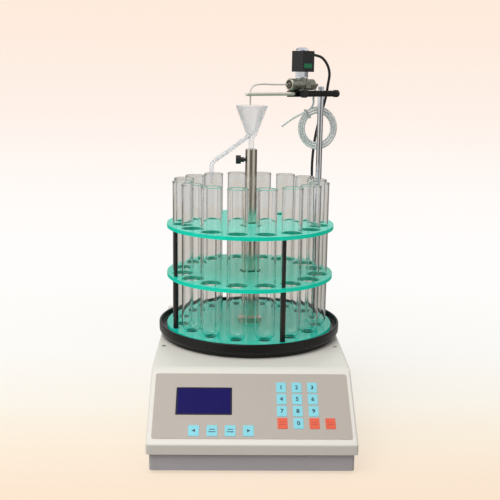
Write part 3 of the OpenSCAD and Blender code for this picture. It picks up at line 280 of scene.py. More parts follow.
def let_light_through(material, tint, deepest):
    """Shadow and soft light pass straight through, and so does sight behind many walls."""
    tree = material.node_tree
    path = tree.nodes.new("ShaderNodeLightPath")
    straight = math_node(tree, "GREATER_THAN", path.outputs["Transmission Depth"], deepest)
    for kind in ("Is Shadow Ray", "Is Diffuse Ray"):
        straight = math_node(tree, "MAXIMUM", straight, path.outputs[kind])
    clear = tree.nodes.new("ShaderNodeBsdfTransparent")
    clear.inputs["Color"].default_value = (*linear(*tint), 1)
    both = tree.nodes.new("ShaderNodeMixShader")
    join(tree, straight, both.inputs["Fac"])
    join(tree, tree.nodes["Principled BSDF"].outputs[0], both.inputs[1])
    join(tree, clear.outputs[0], both.inputs[2])
    join(tree, both.outputs[0], tree.nodes["Material Output"].inputs["Surface"])
    return material


hose_diameter = 3.0
coil_centre = (98.499, 378.0)
coil_layers = (93.53, 97.13)
coil_radius, coil_pitch, coil_stretch = 28.0, 3.5, 1.09
turns_in, turns_climb, coil_start = 2.25, 0.5, 122.0
turns_all = 2 * turns_in + turns_climb
steps_a_turn = 48
walls_seen_through = 9


def coil_point(t):
    angle = math.radians(coil_start + 360 * t)
    radius = coil_radius - coil_pitch * min(t, turns_all - t)
    climb = min(max((t - turns_in) / turns_climb, 0), 1)
    depth = coil_layers[0] + (coil_layers[1] - coil_layers[0]) * (3 * climb ** 2 - 2 * climb ** 3)
    return at(coil_centre[0] + radius * math.cos(angle), depth,
              coil_centre[1] + coil_stretch * radius * math.sin(angle))


coil_path = [coil_point(i / steps_a_turn) for i in range(int(turns_all * steps_a_turn) + 1)]
lead_points = [on_arm(*p) for p in (
    (9, 0, valve_height), (7.4, 0, valve_height), (6.7, -2, 11.3), (6.1, -4.6, 8.4),
    (5.8, -7.3, 3.6), (5.8, -8.4, -1.2))]
lead_points += [at(*p) for p in ((90.5, 89.53, 421), (91, 92.03, 415.5), (90, 93.33, 410.8),
                                 (87.3, 93.53, 406.5), (84.55, 93.53, 404.68))]
end_points = [at(*p) for p in ((82.58, 97.13, 403.35), (79.9, 97.13, 401.7), (75.7, 97.13, 399.1),
                               (70, 97.13, 396.2), (58, 96.63, 389), (46, 96.13, 380))]
hose_path = smooth_line(lead_points + coil_path[:1], 4)[:-1] + coil_path
hose_path += smooth_line(coil_path[-1:] + end_points, 4)[1:]
milky_hose = let_light_through(haze(finish(
    "milky_hose", (234, 236, 233), 0.3, mottle=0.03, patch=200, bump=0.02, Subsurface_Weight=1.0,
    Subsurface_Radius=(1, 1, 1), Subsurface_Scale=0.003), 0.85, 0.94),
    (246, 246, 246), walls_seen_through)
sample_hose = add_piece(
    "sample_hose", tube_mesh("sample_hose", hose_path, hose_diameter / 2 * MM, 14),
    milky_hose, "valve_arm")
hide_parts("hose_lead", "hose_coil", "hose_end")
dress("hose_tie", finish("pale_tie", (214, 216, 212), 0.4, mottle=0.05))

# ---- room -----------------------------------------------------------------------------------
# A pale seamless floor, a pale surround and soft light from above, as for a catalogue picture.
# The floor fades into the surround, and neither is part of the machine.
def light_rays(tree):
    """1 for rays that show the background itself: to the camera, off metal or through glass."""
    path = tree.nodes.new("ShaderNodeLightPath")
    seen = path.outputs["Is Camera Ray"]
    for kind in ("Is Transmission Ray", "Is Glossy Ray"):
        seen = math_node(tree, "MAXIMUM", seen, path.outputs[kind])
    return seen


def ramp_node(tree, stops, source):
    """Colour ramp from (place, colour on screen) stops."""
    node = tree.nodes.new("ShaderNodeValToRGB")
    ramp = node.color_ramp
    ramp.elements[0].position, ramp.elements[1].position = stops[0][0], stops[-1][0]
    for spot, _ in stops[1:-1]:
        ramp.elements.new(spot)
    for element, (_, colour) in zip(ramp.elements, stops):
        element.color = (*linear(*colour), 1)
    join(tree, source, node.inputs["Fac"])
    return node.outputs["Color"]


def choose(tree, factor, first, second):
    """The second colour where the factor is 1, the first where it is 0."""
    node = tree.nodes.new("ShaderNodeMix")
    node.data_type = "RGBA"
    for socket, value in (("Factor", factor), ("A", first), ("B", second)):
        if isinstance(value, tuple):
            node.inputs[socket].default_value = (*linear(*value), 1)
        else:
            join(tree, value, node.inputs[socket])
    return node.outputs["Result"]


low_walls = (
    (0.0, (88, 86, 80)), (0.03, (104, 100, 92)), (0.075, (146, 140, 130)),
    (0.115, (252, 248, 240)), (0.2, (244, 240, 232)), (0.25, (134, 126, 116)),
    (0.32, (96, 90, 82)), (0.4, (84, 80, 74)),
    (0.47, (206, 200, 192)), (0.53, (206, 200, 192)), (0.6, (100, 98, 94)), (0.66, (92, 90, 86)),
    (0.73, (84, 80, 74)), (0.79, (150, 146, 138)), (0.85, (236, 232, 226)), (0.9, (212, 208, 200)),
    (0.94, (140, 136, 128)), (1.0, (88, 86, 80)))
high_walls = (
    (0.0, (130, 130, 130)), (0.03, (226, 224, 220)), (0.065, (118, 118, 118)),
    (0.115, (250, 250, 250)), (0.3, (255, 255, 255)), (0.37, (232, 230, 226)),
    (0.42, (84, 84, 84)), (0.47, (206, 204, 200)), (0.53, (206, 204, 200)),
    (0.6, (100, 100, 100)), (0.7, (140, 138, 136)), (0.74, (240, 238, 234)),
    (0.81, (240, 238, 234)), (0.86, (176, 176, 176)), (0.92, (150, 152, 154)),
    (0.96, (140, 142, 144)), (1.0, (88, 88, 88)))


def walls(tree, direction, tones):
    """What polished metal mirrors: pale windows on both sides of the front, and darker walls.
    Bearings go once round the machine, from 0 at the front over 0.25 on the left."""
    axes = tree.nodes.new("ShaderNodeSeparateXYZ")
    join(tree, direction, axes.inputs[0])
    compass = math_node(tree, "ARCTAN2", axes.outputs["X"], axes.outputs["Y"])
    bearing = math_node(tree, "MULTIPLY_ADD", compass, 0.5 / math.pi)
    bearing.node.inputs[2].default_value = 0.5
    return axes.outputs["Z"], ramp_node(tree, tones, bearing)


world = bpy.data.worlds.new("pale_room")
bpy.context.scene.world = world
world.use_nodes = True
tree = world.node_tree
tree.nodes.clear()
place = tree.nodes.new("ShaderNodeTexCoord")
rise, mirrored = walls(tree, place.outputs["Generated"], high_walls)
height = math_node(tree, "MULTIPLY_ADD", rise, 0.5)
height.node.inputs[2].default_value = 0.5
backdrop = ramp_node(tree, ((0.48, (255, 241, 232)), (0.50, (254, 239, 228)),
                            (0.52, (255, 236, 223)), (0.54, (254, 235, 219))), height)
sky = ramp_node(tree, ((0.3, (130, 128, 126)), (0.5, (150, 149, 148)), (0.62, (166, 166, 166)),
                       (0.8, (196, 196, 196)), (1.0, (212, 212, 212))), height)
overhead = tree.nodes.new("ShaderNodeMapRange")
overhead.interpolation_type = "SMOOTHSTEP"
overhead.inputs["From Min"].default_value, overhead.inputs["From Max"].default_value = 0.1, 0.3
join(tree, rise, overhead.inputs["Value"])
mirrored = choose(tree, overhead.outputs["Result"], mirrored, (222, 220, 216))
path = tree.nodes.new("ShaderNodeLightPath")
show = choose(tree, path.outputs["Is Glossy Ray"], backdrop, mirrored)
show = choose(tree, light_rays(tree), sky, show)
background = tree.nodes.new("ShaderNodeBackground")
join(tree, show, background.inputs["Color"])
output = tree.nodes.new("ShaderNodeOutputWorld")
join(tree, background.outputs[0], output.inputs["Surface"])

floor_material = bpy.data.materials.new("pale_floor")
floor_material.use_nodes = True
tree = floor_material.node_tree
shader = tree.nodes["Principled BSDF"]
shader.inputs["Roughness"].default_value = 0.9
shader.inputs["Specular IOR Level"].default_value = 0.1
place = tree.nodes.new("ShaderNodeTexCoord")
axes = tree.nodes.new("ShaderNodeSeparateXYZ")
join(tree, place.outputs["Object"], axes.inputs[0])
size = math_node(tree, "ABSOLUTE", axes.outputs["Y"], 0)
depth = math_node(tree, "DIVIDE", axes.outputs["Y"], math_node(tree, "ADD", size, 1.0))
depth = math_node(tree, "MULTIPLY_ADD", depth, 0.5)
depth.node.inputs[2].default_value = 0.5
sweep = ramp_node(tree, (
    (0.05, (255, 241, 232)), (0.25, (254, 232, 212)), (0.385, (253, 229, 206)),
    (0.455, (254, 241, 222)), (0.52, (254, 248, 237)), (0.605, (255, 253, 249)),
    (0.76, (255, 253, 252)), (0.84, (255, 251, 248)), (0.905, (255, 246, 240)),
    (0.955, (255, 241, 232))), depth)
path = tree.nodes.new("ShaderNodeLightPath")
join(tree, choose(tree, path.outputs["Is Diffuse Ray"], sweep, (138, 135, 131)),
     shader.inputs["Base Color"])
distance = tree.nodes.new("ShaderNodeVectorMath")
distance.operation = "LENGTH"
join(tree, place.outputs["Object"], distance.inputs[0])


def from_to(tree, near, far, low):
    """Rises from low to 1 between two distances from the machine, in metres."""
    fade = tree.nodes.new("ShaderNodeMapRange")
    fade.interpolation_type = "SMOOTHSTEP"
    fade.inputs["From Min"].default_value, fade.inputs["From Max"].default_value = near, far
    fade.inputs["To Min"].default_value = low
    join(tree, distance.outputs["Value"], fade.inputs["Value"])
    return fade.outputs["Result"]


_, mirrored = walls(tree, place.outputs["Object"], low_walls)
mirror_share = math_node(tree, "MULTIPLY", path.outputs["Is Glossy Ray"],
                         from_to(tree, 0.25, 0.6, 0))
glow = tree.nodes.new("ShaderNodeEmission")
join(tree, choose(tree, mirror_share, sweep, mirrored), glow.inputs["Color"])
blend = tree.nodes.new("ShaderNodeMixShader")
join(tree, math_node(tree, "MULTIPLY", light_rays(tree), from_to(tree, 0.2, 0.9, 0.75)),
     blend.inputs["Fac"])
join(tree, shader.outputs[0], blend.inputs[1])
join(tree, glow.outputs[0], blend.inputs[2])
join(tree, blend.outputs[0], tree.nodes["Material Output"].inputs["Surface"])
bpy.ops.mesh.primitive_circle_add(vertices=96, radius=12, fill_type="NGON", location=(0, 0, 0))
floor = bpy.context.object
floor.name = "floor"
floor.data.materials.append(floor_material)


def softbox(name, spot, aim, size, power):
    """A square area lamp at spot that points at aim, both in metres from the rack's axis."""
    lamp = bpy.data.lights.new(name, "AREA")
    lamp.shape, lamp.size, lamp.energy = "SQUARE", size, power
    lamp_object = bpy.data.objects.new(name, lamp)
    spot, aim = AXIS + Vector(spot), AXIS + Vector(aim)
    lamp_object.location = spot
    lamp_object.rotation_euler = (aim - spot).to_track_quat("-Z", "Y").to_euler()
    bpy.context.scene.collection.objects.link(lamp_object)


softbox("main_lamp", (-0.55, -0.8, 1.7), (0, -0.05, 0.15), 1.3, 16.5)
softbox("left_lamp", (-1.6, -0.9, 1.0), (0, 0, 0.25), 0.8, 3.5)

# ---- base pan and feet ----------------------------------------------------------------------
# The lower tray of the case, folded from steel sheet and painted grey, with round air slots.
# Four soft rubber feet push into it from below.
grey_paint = finish("grey_paint", (196, 191, 194), 0.5, mottle=0.03, patch=12, grain=700,
                    bump=0.15)
dress("base_pan", grey_paint)
rubber = finish("foot_rubber", (30, 30, 30), 0.8, mottle=0.2, bump=0.3)
dress("rubber_feet", rubber)

# ---- housing --------------------------------------------------------------------------------
# The upper shell: one folded and rounded steel sheet with a sloping control panel, in light
# cream paint with a fine orange-peel skin. Countersunk screws hold it to the pan.
cream_paint = finish("cream_paint", (238, 233, 224), 0.42, mottle=0.02, patch=9, grain=420,
                     bump=0.12, Coat_Weight=0.15)
dress("top_housing", cream_paint)
plated_steel = finish("plated_steel", (176, 174, 170), 0.32, metal=1.0, mottle=0.12, patch=300)
dress("housing_screws", plated_steel)

# ---- control panel --------------------------------------------------------------------------
# One printed film, bonded to the slope, with low domes under its keys. The keys are printed in
# cyan and red, with plain figures on the number pad, and arrows and short bars on the others.
lip_front, lip_top, slope_angle = 247.0, 37.0, math.atan2(61.5, 91.0)
film_thick, key_rise = 0.5, 0.4
film = finish("printed_film", (191, 181, 171), 0.48, mottle=0.025, patch=30, grain=1500, bump=0.1)
dress("keypad_overlay", film)


def on_slope(x, up, out=0.0):
    """Point on the sloping panel: x sideways, up the slope from the lip, and out of it."""
    c, s = math.cos(slope_angle), math.sin(slope_angle)
    return at(x, -lip_front + up * c - out * s, lip_top + up * s + out * c)


def slope_matrix(x, up, out):
    return Matrix.Translation(on_slope(x, up, out)) @ Matrix.Rotation(slope_angle, 4, "X")


def round_outline(width, length, radius, steps=5):
    points = []
    for k, (sx, sy) in enumerate(((1, 1), (-1, 1), (-1, -1), (1, -1))):
        for i in range(steps + 1):
            a = math.pi / 2 * (k + i / steps)
            points.append((sx * (width / 2 - radius) + radius * math.cos(a),
                           sy * (length / 2 - radius) + radius * math.sin(a)))
    return points


def plate_mesh(name, outline, low, high, edge=0.0, hole=None):
    """Flat plate in millimetres with a softened upper edge, made at the origin in metres."""
    bm = bmesh.new()
    levels = [(low, 0)]
    if edge:
        levels += [(high - edge, 0), (high - edge * 0.3, edge * 0.3), (high, edge)]
    else:
        levels += [(high, 0)]
    reach = [max(abs(p[i]) for p in outline) for i in (0, 1)]
    loops = []
    for z, inset in levels:
        scale = [(reach[i] - inset) / reach[i] for i in (0, 1)]
        loops.append([bm.verts.new((x * scale[0] * MM, y * scale[1] * MM, z * MM))
                      for x, y in outline])
    n = len(outline)
    for a, b in zip(loops, loops[1:]):
        for k in range(n):
            bm.faces.new((a[k], a[(k + 1) % n], b[(k + 1) % n], b[k]))
    if hole:
        inner = [[bm.verts.new((x * MM, y * MM, z * MM)) for x, y in hole] for z in (low, high)]
        for outer, loop, flip in ((loops[0], inner[0], True), (loops[-1], inner[1], False)):
            for k in range(n):
                quad = (outer[k], outer[(k + 1) % n], loop[(k + 1) % n], loop[k])
                bm.faces.new(quad[::-1] if flip else quad)
        for k in range(n):
            bm.faces.new((inner[1][k], inner[1][(k + 1) % n], inner[0][(k + 1) % n], inner[0][k]))
    else:
        bm.faces.new(loops[0][::-1])
        bm.faces.new(loops[-1])
    return closed_mesh(name, bm)


def repeat_tree(name, material):
    """Node tree that copies an object over a grid of Columns by Rows, and joins the copies."""
    tree = bpy.data.node_groups.new(name, "GeometryNodeTree")
    face = tree.interface
    for label, kind, value in (
            ("Piece", "NodeSocketObject", None), ("Columns", "NodeSocketInt", 1),
            ("Rows", "NodeSocketInt", 1), ("Step across", "NodeSocketFloat", 0.0),
            ("Step up", "NodeSocketFloat", 0.0)):
        socket = face.new_socket(label, in_out="INPUT", socket_type=kind)
        if value is not None:
            socket.default_value = value
    face.new_socket("Geometry", in_out="OUTPUT", socket_type="NodeSocketGeometry")
    new = tree.nodes.new
    given = new("NodeGroupInput")
    across, up = new("GeometryNodeMeshLine"), new("GeometryNodeMeshLine")
    for line, count, step, axis in ((across, "Columns", "Step across", "X"),
                                    (up, "Rows", "Step up", "Y")):
        vector = new("ShaderNodeCombineXYZ")
        join(tree, given.outputs[step], vector.inputs[axis])
        join(tree, vector.outputs[0], line.inputs["Offset"])
        join(tree, given.outputs[count], line.inputs["Count"])
    lines = new("GeometryNodeInstanceOnPoints")
    join(tree, across.outputs["Mesh"], lines.inputs["Points"])
    join(tree, up.outputs["Mesh"], lines.inputs["Instance"])
    grid = new("GeometryNodeRealizeInstances")
    join(tree, lines.outputs["Instances"], grid.inputs["Geometry"])
    source = new("GeometryNodeObjectInfo")
    join(tree, given.outputs["Piece"], source.inputs["Object"])
    copies = new("GeometryNodeInstanceOnPoints")
    join(tree, grid.outputs["Geometry"], copies.inputs["Points"])
    join(tree, source.outputs["Geometry"], copies.inputs["Instance"])
    real = new("GeometryNodeRealizeInstances")
    join(tree, copies.outputs["Instances"], real.inputs["Geometry"])
    paint = new("GeometryNodeSetMaterial")
    paint.inputs["Material"].default_value = material
    join(tree, real.outputs["Geometry"], paint.inputs["Geometry"])
    result = new("NodeGroupOutput")
    join(tree, paint.outputs["Geometry"], result.inputs["Geometry"])
    return tree


def grow(name, tree, values, matrix, body):
    """Runs a node tree, keeps its mesh as a piece in place, and drops the modifier."""
    holder = bpy.data.objects.new(name + "_maker", bpy.data.meshes.new(name + "_maker"))
    bpy.context.scene.collection.objects.link(holder)
    modifier = holder.modifiers.new("maker", "NODES")
    modifier.node_group = tree
    for item in tree.interface.items_tree:
        if item.item_type == "SOCKET" and item.in_out == "INPUT" and item.name in values:
            modifier[item.identifier] = values[item.name]
    graph = bpy.context.evaluated_depsgraph_get()
    graph.update()
    mesh = bpy.data.meshes.new_from_object(holder.evaluated_get(graph))
    bpy.data.objects.remove(holder)
    bpy.data.objects.remove(values["Piece"])
    mesh.transform(matrix)
    mesh.name = name
    piece = bpy.data.objects.new(name, mesh)
    bpy.context.scene.collection.objects.link(piece)
    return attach(piece, body)


def pattern(mesh):
    """A loose object that a node tree copies."""
    source = bpy.data.objects.new(mesh.name + "_pattern", mesh)
    bpy.context.scene.collection.objects.link(source)
    return source


cyan_print = finish("cyan_key_print", (140, 222, 235), 0.4, mottle=0.04, patch=90, bump=0.05)
red_print = finish("red_key_print", (240, 98, 66), 0.4, mottle=0.05, patch=90, bump=0.05)
key_wide, function_wide, key_long, key_corner = 11.8, 12.6, 14.9, 0.9
key_step_x, key_step_up, function_step = 18.8, 17.0, 21.2
key_base, key_top = film_thick - 0.1, film_thick + key_rise + 0.12
key_outline = round_outline(key_wide, key_long, key_corner)
function_outline = round_outline(function_wide, key_long, key_corner)
column_x = [35.6 + i * key_step_x for i in range(4)]
low_row, pad_row = 29.0, 46.0
function_x = [-68.0 + i * function_step for i in range(4)]
function_row = 18.7
pads = (
    ("number_keys", key_outline, cyan_print, 3, 3, key_step_x, key_step_up, column_x[0], pad_row),
    ("zero_key", key_outline, cyan_print, 1, 1, 0, 0, column_x[1], low_row),
    ("red_keys", key_outline, red_print, 2, 1, 2 * key_step_x, 0, column_x[0], low_row),
    ("red_end_key", key_outline, red_print, 1, 1, 0, 0, column_x[3], low_row),
    ("function_keys", function_outline, cyan_print, 4, 1, function_step, 0, function_x[0],
     function_row))
for name, outline, material, columns, rows, step_x, step_up, x, up in pads:
    grow(name, repeat_tree(name + "_layout", material), {
        "Piece": pattern(plate_mesh(name, outline, key_base, key_top, 0.35)),
        "Columns": columns, "Rows": rows, "Step across": step_x * MM, "Step up": step_up * MM,
    }, slope_matrix(x, up, 0), "base")

key_ink = finish("key_ink", (36, 52, 74), 0.5, mottle=0.1)
faint_ink = finish("faint_red_ink", (205, 84, 58), 0.5, mottle=0.1)
figure_size, figure_bold, ink_thick = 7.6, 0.22, 0.01


def figure(text, x, up):
    """A printed figure: text made into a thin mesh on top of a key."""
    name = "figure_" + text
    curve = bpy.data.curves.new(name, "FONT")
    curve.body = text
    curve.align_x, curve.align_y = "CENTER", "CENTER"
    curve.size = figure_size * MM
    curve.extrude = ink_thick * MM
    curve.offset = figure_bold * MM
    curve.resolution_u = 4
    holder = bpy.data.objects.new(name + "_maker", curve)
    bpy.context.scene.collection.objects.link(holder)
    graph = bpy.context.evaluated_depsgraph_get()
    mesh = bpy.data.meshes.new_from_object(holder.evaluated_get(graph))
    bpy.data.objects.remove(holder)
    mesh.transform(slope_matrix(x, up, key_top + 0.03))
    mesh.materials.clear()
    add_piece(name, mesh, key_ink, "base", smooth=False)


for row, figures in enumerate(("789", "456", "123")):
    for column, text in enumerate(figures):
        figure(text, column_x[column], pad_row + row * key_step_up)
figure("0", column_x[1], low_row)
arrow = [(-2.2, 0), (1.6, -2.2), (1.6, 2.2)]
marks = [("back_mark", arrow, key_ink, function_x[0], function_row),
         ("next_mark", [(-x, y) for x, y in reversed(arrow)], key_ink, function_x[3],
          function_row)]
bar_high, bar_corner = 1.1, 0.3
for name, x, up, ink in (("first_set", function_x[1], function_row, key_ink),
                         ("second_set", function_x[2], function_row, key_ink),
                         ("first_red", column_x[0], low_row, faint_ink),
                         ("second_red", column_x[2], low_row, faint_ink),
                         ("third_red", column_x[3], low_row, faint_ink)):
    for row, width in ((1.6, 6.6), (-1.6, 8.0)):
        marks.append((f"{name}_bar_{int(row > 0)}", round_outline(width, bar_high, bar_corner),
                      ink, x, up + row))
for name, outline, ink, x, up in marks:
    mark = plate_mesh(name, outline, key_top - 0.06, key_top + 0.04)
    mark.transform(slope_matrix(x, up, 0))
    add_piece(name, mark, ink, "base", smooth=False)

# ---- display --------------------------------------------------------------------------------
# A liquid-crystal panel set flush in the film: dark blue glass inside a narrow black border.
# The pane lies a little below the border's face.
display_glass = finish("display_glass", (30, 24, 96), 0.35, mottle=0.14, patch=22, bump=0,
                       rough_spread=0.03, Specular_IOR_Level=0.06)
display_border = finish("display_border", (18, 15, 42), 0.35, mottle=0.1, bump=0.03,
                        Specular_IOR_Level=0.3)
dress("lcd_display", display_border)
display_x, display_up = -57.0, 60.2
add_piece("display_border_ring", plate_mesh(
    "display_border_ring", round_outline(66.4, 38.9, 1.6), 0.2, film_thick + 0.25, 0,
    round_outline(63.2, 35.8, 0.8)), display_border, "base", smooth=False)
bpy.data.objects["display_border_ring"].data.transform(slope_matrix(display_x, display_up, 0))
add_piece("display_pane", plate_mesh("display_pane", round_outline(63.1, 35.7, 0.8), 0.2, 0.62),
          display_glass, "base", smooth=False)
bpy.data.objects["display_pane"].data.transform(slope_matrix(display_x, display_up, 0))

# ---- back panel and inside ------------------------------------------------------------------
# Appliance inlet, rocker switch and cable gland in black moulded plastic, and behind them the
# transformer, the circuit board and the gear drive that turns the post.
black_plastic = finish("black_plastic", (26, 26, 27), 0.45, mottle=0.15, bump=0.15)
for node in ("power_inlet", "switch_frame", "power_rocker", "cable_gland"):
    dress(node, black_plastic)
dress("transformer", finish("lacquered_steel", (84, 80, 78), 0.5, metal=0.6, stretch=(1, 14, 1)))
dress("control_board", finish("board_lacquer", (20, 92, 58), 0.35, mottle=0.2, patch=220))
milled = finish("milled_aluminium", (170, 170, 174), 0.36, metal=1.0, stretch=(1, 20, 1))
dress("motor_bracket", milled)
dress("drive_motor", finish("motor_black", (44, 44, 48), 0.45, metal=0.4))
dress("motor_shaft", plated_steel)
dress("motor_pinion", finish("pinion_brass", (206, 176, 96), 0.3, metal=1.0, patch=200))
dress("drive_gear", finish("gear_nylon", (232, 228, 212), 0.45, mottle=0.04))
dress("shaft_bearing", finish("oiled_bronze", (176, 132, 74), 0.35, metal=1.0, patch=300))

# ---- drip tray ------------------------------------------------------------------------------
# A round tray of black moulded plastic under the rack, with a rolled rim above a plain ring.
# It catches what drips past the tubes.
tray_black = finish("tray_black", (12, 11, 12), 0.3, mottle=0.2, patch=20, grain=260, bump=0.06,
                    Specular_IOR_Level=0.28)
dress("drip_tray", tray_black)

# ---- rack discs -----------------------------------------------------------------------------
# Three discs cut from blue-green acrylic sheet. Their faces are glossy and a little see-through.
# Faces and edges glow with painted light, the outer sawn edge brightest, and the hole walls are a
# darker teal.
acrylic = bpy.data.materials.new("green_acrylic")
acrylic.use_nodes = True
tree = acrylic.node_tree
shader = tree.nodes["Principled BSDF"]
shader.inputs["Transmission Weight"].default_value = 0.3
shader.inputs["IOR"].default_value = 1.49
shader.inputs["Specular IOR Level"].default_value = 0.2
geometry = tree.nodes.new("ShaderNodeNewGeometry")
facing = tree.nodes.new("ShaderNodeSeparateXYZ")
join(tree, geometry.outputs["True Normal"], facing.inputs[0])
flat = math_node(tree, "ABSOLUTE", facing.outputs["Z"], 0)
place = tree.nodes.new("ShaderNodeTexCoord")
cloud = tree.nodes.new("ShaderNodeTexNoise")
cloud.inputs["Scale"].default_value = 30
join(tree, place.outputs["Object"], cloud.inputs["Vector"])
distance = tree.nodes.new("ShaderNodeVectorMath")
distance.operation = "LENGTH"
axes = tree.nodes.new("ShaderNodeSeparateXYZ")
join(tree, place.outputs["Object"], axes.inputs[0])
from_axis = tree.nodes.new("ShaderNodeCombineXYZ")
for axis in ("X", "Y"):
    offset = getattr(AXIS, axis.lower())
    join(tree, math_node(tree, "SUBTRACT", axes.outputs[axis], offset), from_axis.inputs[axis])
join(tree, from_axis.outputs[0], distance.inputs[0])
# Beyond this radius the edge is the outer sawn rim, painted a brighter teal as a painted glow; the
# hole walls inside it get a darker teal.
rim_begins = 113.5 * MM
rim = math_node(tree, "GREATER_THAN", distance.outputs["Value"], rim_begins)
face_tone = choose(tree, cloud.outputs["Fac"], (12, 214, 188), (26, 226, 202))
edge_tone_painted_glow = choose(tree, rim, (6, 150, 126), (4, 230, 198))
join(tree, choose(tree, flat, edge_tone_painted_glow, face_tone), shader.inputs["Base Color"])
# Painted glow: the discs emit their own colours, at strength 0.2 on edges and 0.1 on faces, though
# they are no lamp.
join(tree, choose(tree, flat, edge_tone_painted_glow, face_tone), shader.inputs["Emission Color"])
glow = tree.nodes.new("ShaderNodeMapRange")
glow.inputs["To Min"].default_value, glow.inputs["To Max"].default_value = 0.2, 0.1
join(tree, flat, glow.inputs["Value"])
join(tree, glow.outputs["Result"], shader.inputs["Emission Strength"])
dull = tree.nodes.new("ShaderNodeMapRange")
dull.inputs["To Min"].default_value, dull.inputs["To Max"].default_value = 0.3, 0.09
join(tree, flat, dull.inputs["Value"])
join(tree, dull.outputs["Result"], shader.inputs["Roughness"])


for node in ("bottom_disc", "middle_disc", "top_disc"):
    dress(node, acrylic)

# ---- rack posts -----------------------------------------------------------------------------
# Turned posts in satin black that space the discs, four below and four thinner ones above.
# They are pinned into the disc below and above.
post_black = finish("post_black", (20, 19, 19), 0.38, mottle=0.2, bump=0.06)
dress("rack_posts", post_black)

# ---- centre post ----------------------------------------------------------------------------
# A stainless tube that turns in a flanged bearing and carries the funnel. The tube is drawn
# lengthways, so its fine lines run up and down.
stainless = finish("drawn_stainless", (214, 209, 198), 0.16, metal=1.0, mottle=0.06, patch=60,
                   grain=900, bump=0.02, rough_spread=0.05, stretch=(1, 1, 0.03))
dress("center_post", stainless)
dress("post_bearing", finish("turned_steel", (196, 190, 176), 0.28, metal=1.0, patch=200))

# ---- glass ----------------------------------------------------------------------------------
# Borosilicate test tubes with round bottoms and slightly flared lips. Each stands loose in the
# holes of the upper discs, with its end in a smaller hole of the lowest disc.
glass = let_light_through(finish(
    "clear_glass", (255, 255, 255), 0.02, mottle=0.003, patch=60, bump=0, rough_spread=0.01,
    Transmission_Weight=1.0, IOR=1.3), (254, 254, 254), walls_seen_through)


def lathe(name, profile, centre, sides=64):
    """Closed solid of revolution from (radius, height) points in millimetres."""
    bm = bmesh.new()
    loops = []
    for radius, height in profile:
        if radius < 1e-6:
            loops.append([bm.verts.new(centre + Vector((0, 0, height * MM)))])
        else:
            loops.append([bm.verts.new(centre + Vector((
                radius * MM * math.cos(2 * math.pi * k / sides),
                radius * MM * math.sin(2 * math.pi * k / sides), height * MM)))
                for k in range(sides)])
    for a, b in zip(loops, loops[1:] + loops[:1]):
        if len(a) == 1 and len(b) == 1:
            continue
        for k in range(sides):
            n = (k + 1) % sides
            corners = [a[k % len(a)], a[n % len(a)], b[n % len(b)], b[k % len(b)]]
            unique = []
            for v in corners:
                if v not in unique:
                    unique.append(v)
            bm.faces.new(unique)
    return closed_mesh(name, bm)


def arc(centre_r, centre_z, radius, start, end, steps):
    return [(centre_r + radius * math.cos(math.radians(start + (end - start) * i / steps)),
             centre_z + radius * math.sin(math.radians(start + (end - start) * i / steps)))
            for i in range(steps + 1)]


tube_r, tube_wall, tube_long, lip_bead = 13.5, 1.3, 200.0, 0.5
bore_r = tube_r - tube_wall
tube_profile = (
    [(0, 0)] + arc(0, tube_r, tube_r, -90, 0, 14)[1:]
    + [(tube_r, 60), (tube_r, 120), (tube_r, tube_long - 3.2)]
    + arc(tube_r - 0.9, tube_long - 1.4, 0.9 + lip_bead, -20, 90, 6)
    + arc(bore_r + 0.9, tube_long - 0.9, 0.9, 90, 180, 4)
    + [(bore_r, tube_long - 5), (bore_r, 120), (bore_r, 60)]
    + arc(0, tube_r, bore_r, 0, -90, 14)[:-1] + [(0, tube_wall)])
for number in range(1, 17):
    node = f"tube_{number:02d}"
    low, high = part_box(node)
    foot = Vector(((low.x + high.x) / 2, (low.y + high.y) / 2, low.z))
    piece = add_piece(f"glass_{node}", lathe(f"glass_{node}", tube_profile, foot), glass,
                      f"{node}_body")
    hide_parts(node)

# ---- funnel ---------------------------------------------------------------------------------
# Blown glass with a soft haze: a cone on a solid stem, and a side arm that falls to a fine
# spout. The stem stands in the hollow top of the post, held by a small thumbscrew.
hazy_glass = let_light_through(haze(finish(
    "hazy_glass", (232, 235, 243), 0.12, mottle=0.03, patch=45, bump=0, stretch=(1, 1, 0.15),
    Subsurface_Weight=0.6, Subsurface_Radius=(1, 1, 1), Subsurface_Scale=0.003),
    0.14, 0.55), (250, 250, 250), walls_seen_through)
stem_foot, stem_r, cone_foot, neck_r = 325, 3.7, 371.5, 6.4
rim_height, rim_r, cone_wall = 413, 21.5, 1.4
funnel_profile = (
    [(0, stem_foot), (stem_r - 0.6, stem_foot), (stem_r, stem_foot + 0.6),
     (stem_r, cone_foot - 2.5), (neck_r - 0.4, cone_foot - 0.4), (neck_r + 0.2, cone_foot + 0.5),
     (rim_r, rim_height - 1.4)]
    + arc(rim_r - 0.5, rim_height - 0.9, 0.9, -10, 180, 8)
    + [(neck_r - cone_wall, cone_foot + 3), (neck_r - cone_wall - 0.8, cone_foot + 2.2),
       (0, cone_foot + 2)])
funnel_cone = add_piece("funnel_cone", lathe("funnel_cone", funnel_profile, at(0, 0, 0), 96),
                        hazy_glass, "funnel_body")
arm_bearing = math.radians(-33.75 - 90)
arm_root, arm_fall, bend_r, over_tube, spout_end = 375.0, 32.0, 7.0, 93.5, 317.16
fall_angle = math.degrees(math.atan2(arm_fall, over_tube))
bend_drop = bend_r * math.tan(math.radians(90 - fall_angle) / 2)
bend_height = arm_root - arm_fall - bend_drop
side_line = [(r, arm_root - arm_fall * r / over_tube) for r in (3.4, 6, 12, 24, 40, 56, 72)]
side_line += arc(over_tube - bend_r, bend_height, bend_r, 90 - fall_angle, 0, 10)
side_line += [(over_tube, spout_end + h) for h in (17, 14, 11, 8, 5, 2.5, 0)]
taper = [min(1, (h - spout_end) / 15) if r > over_tube - 0.01 else 1 for r, h in side_line]
side_path = [at(r * math.cos(arm_bearing), r * math.sin(arm_bearing), h) for r, h in side_line]
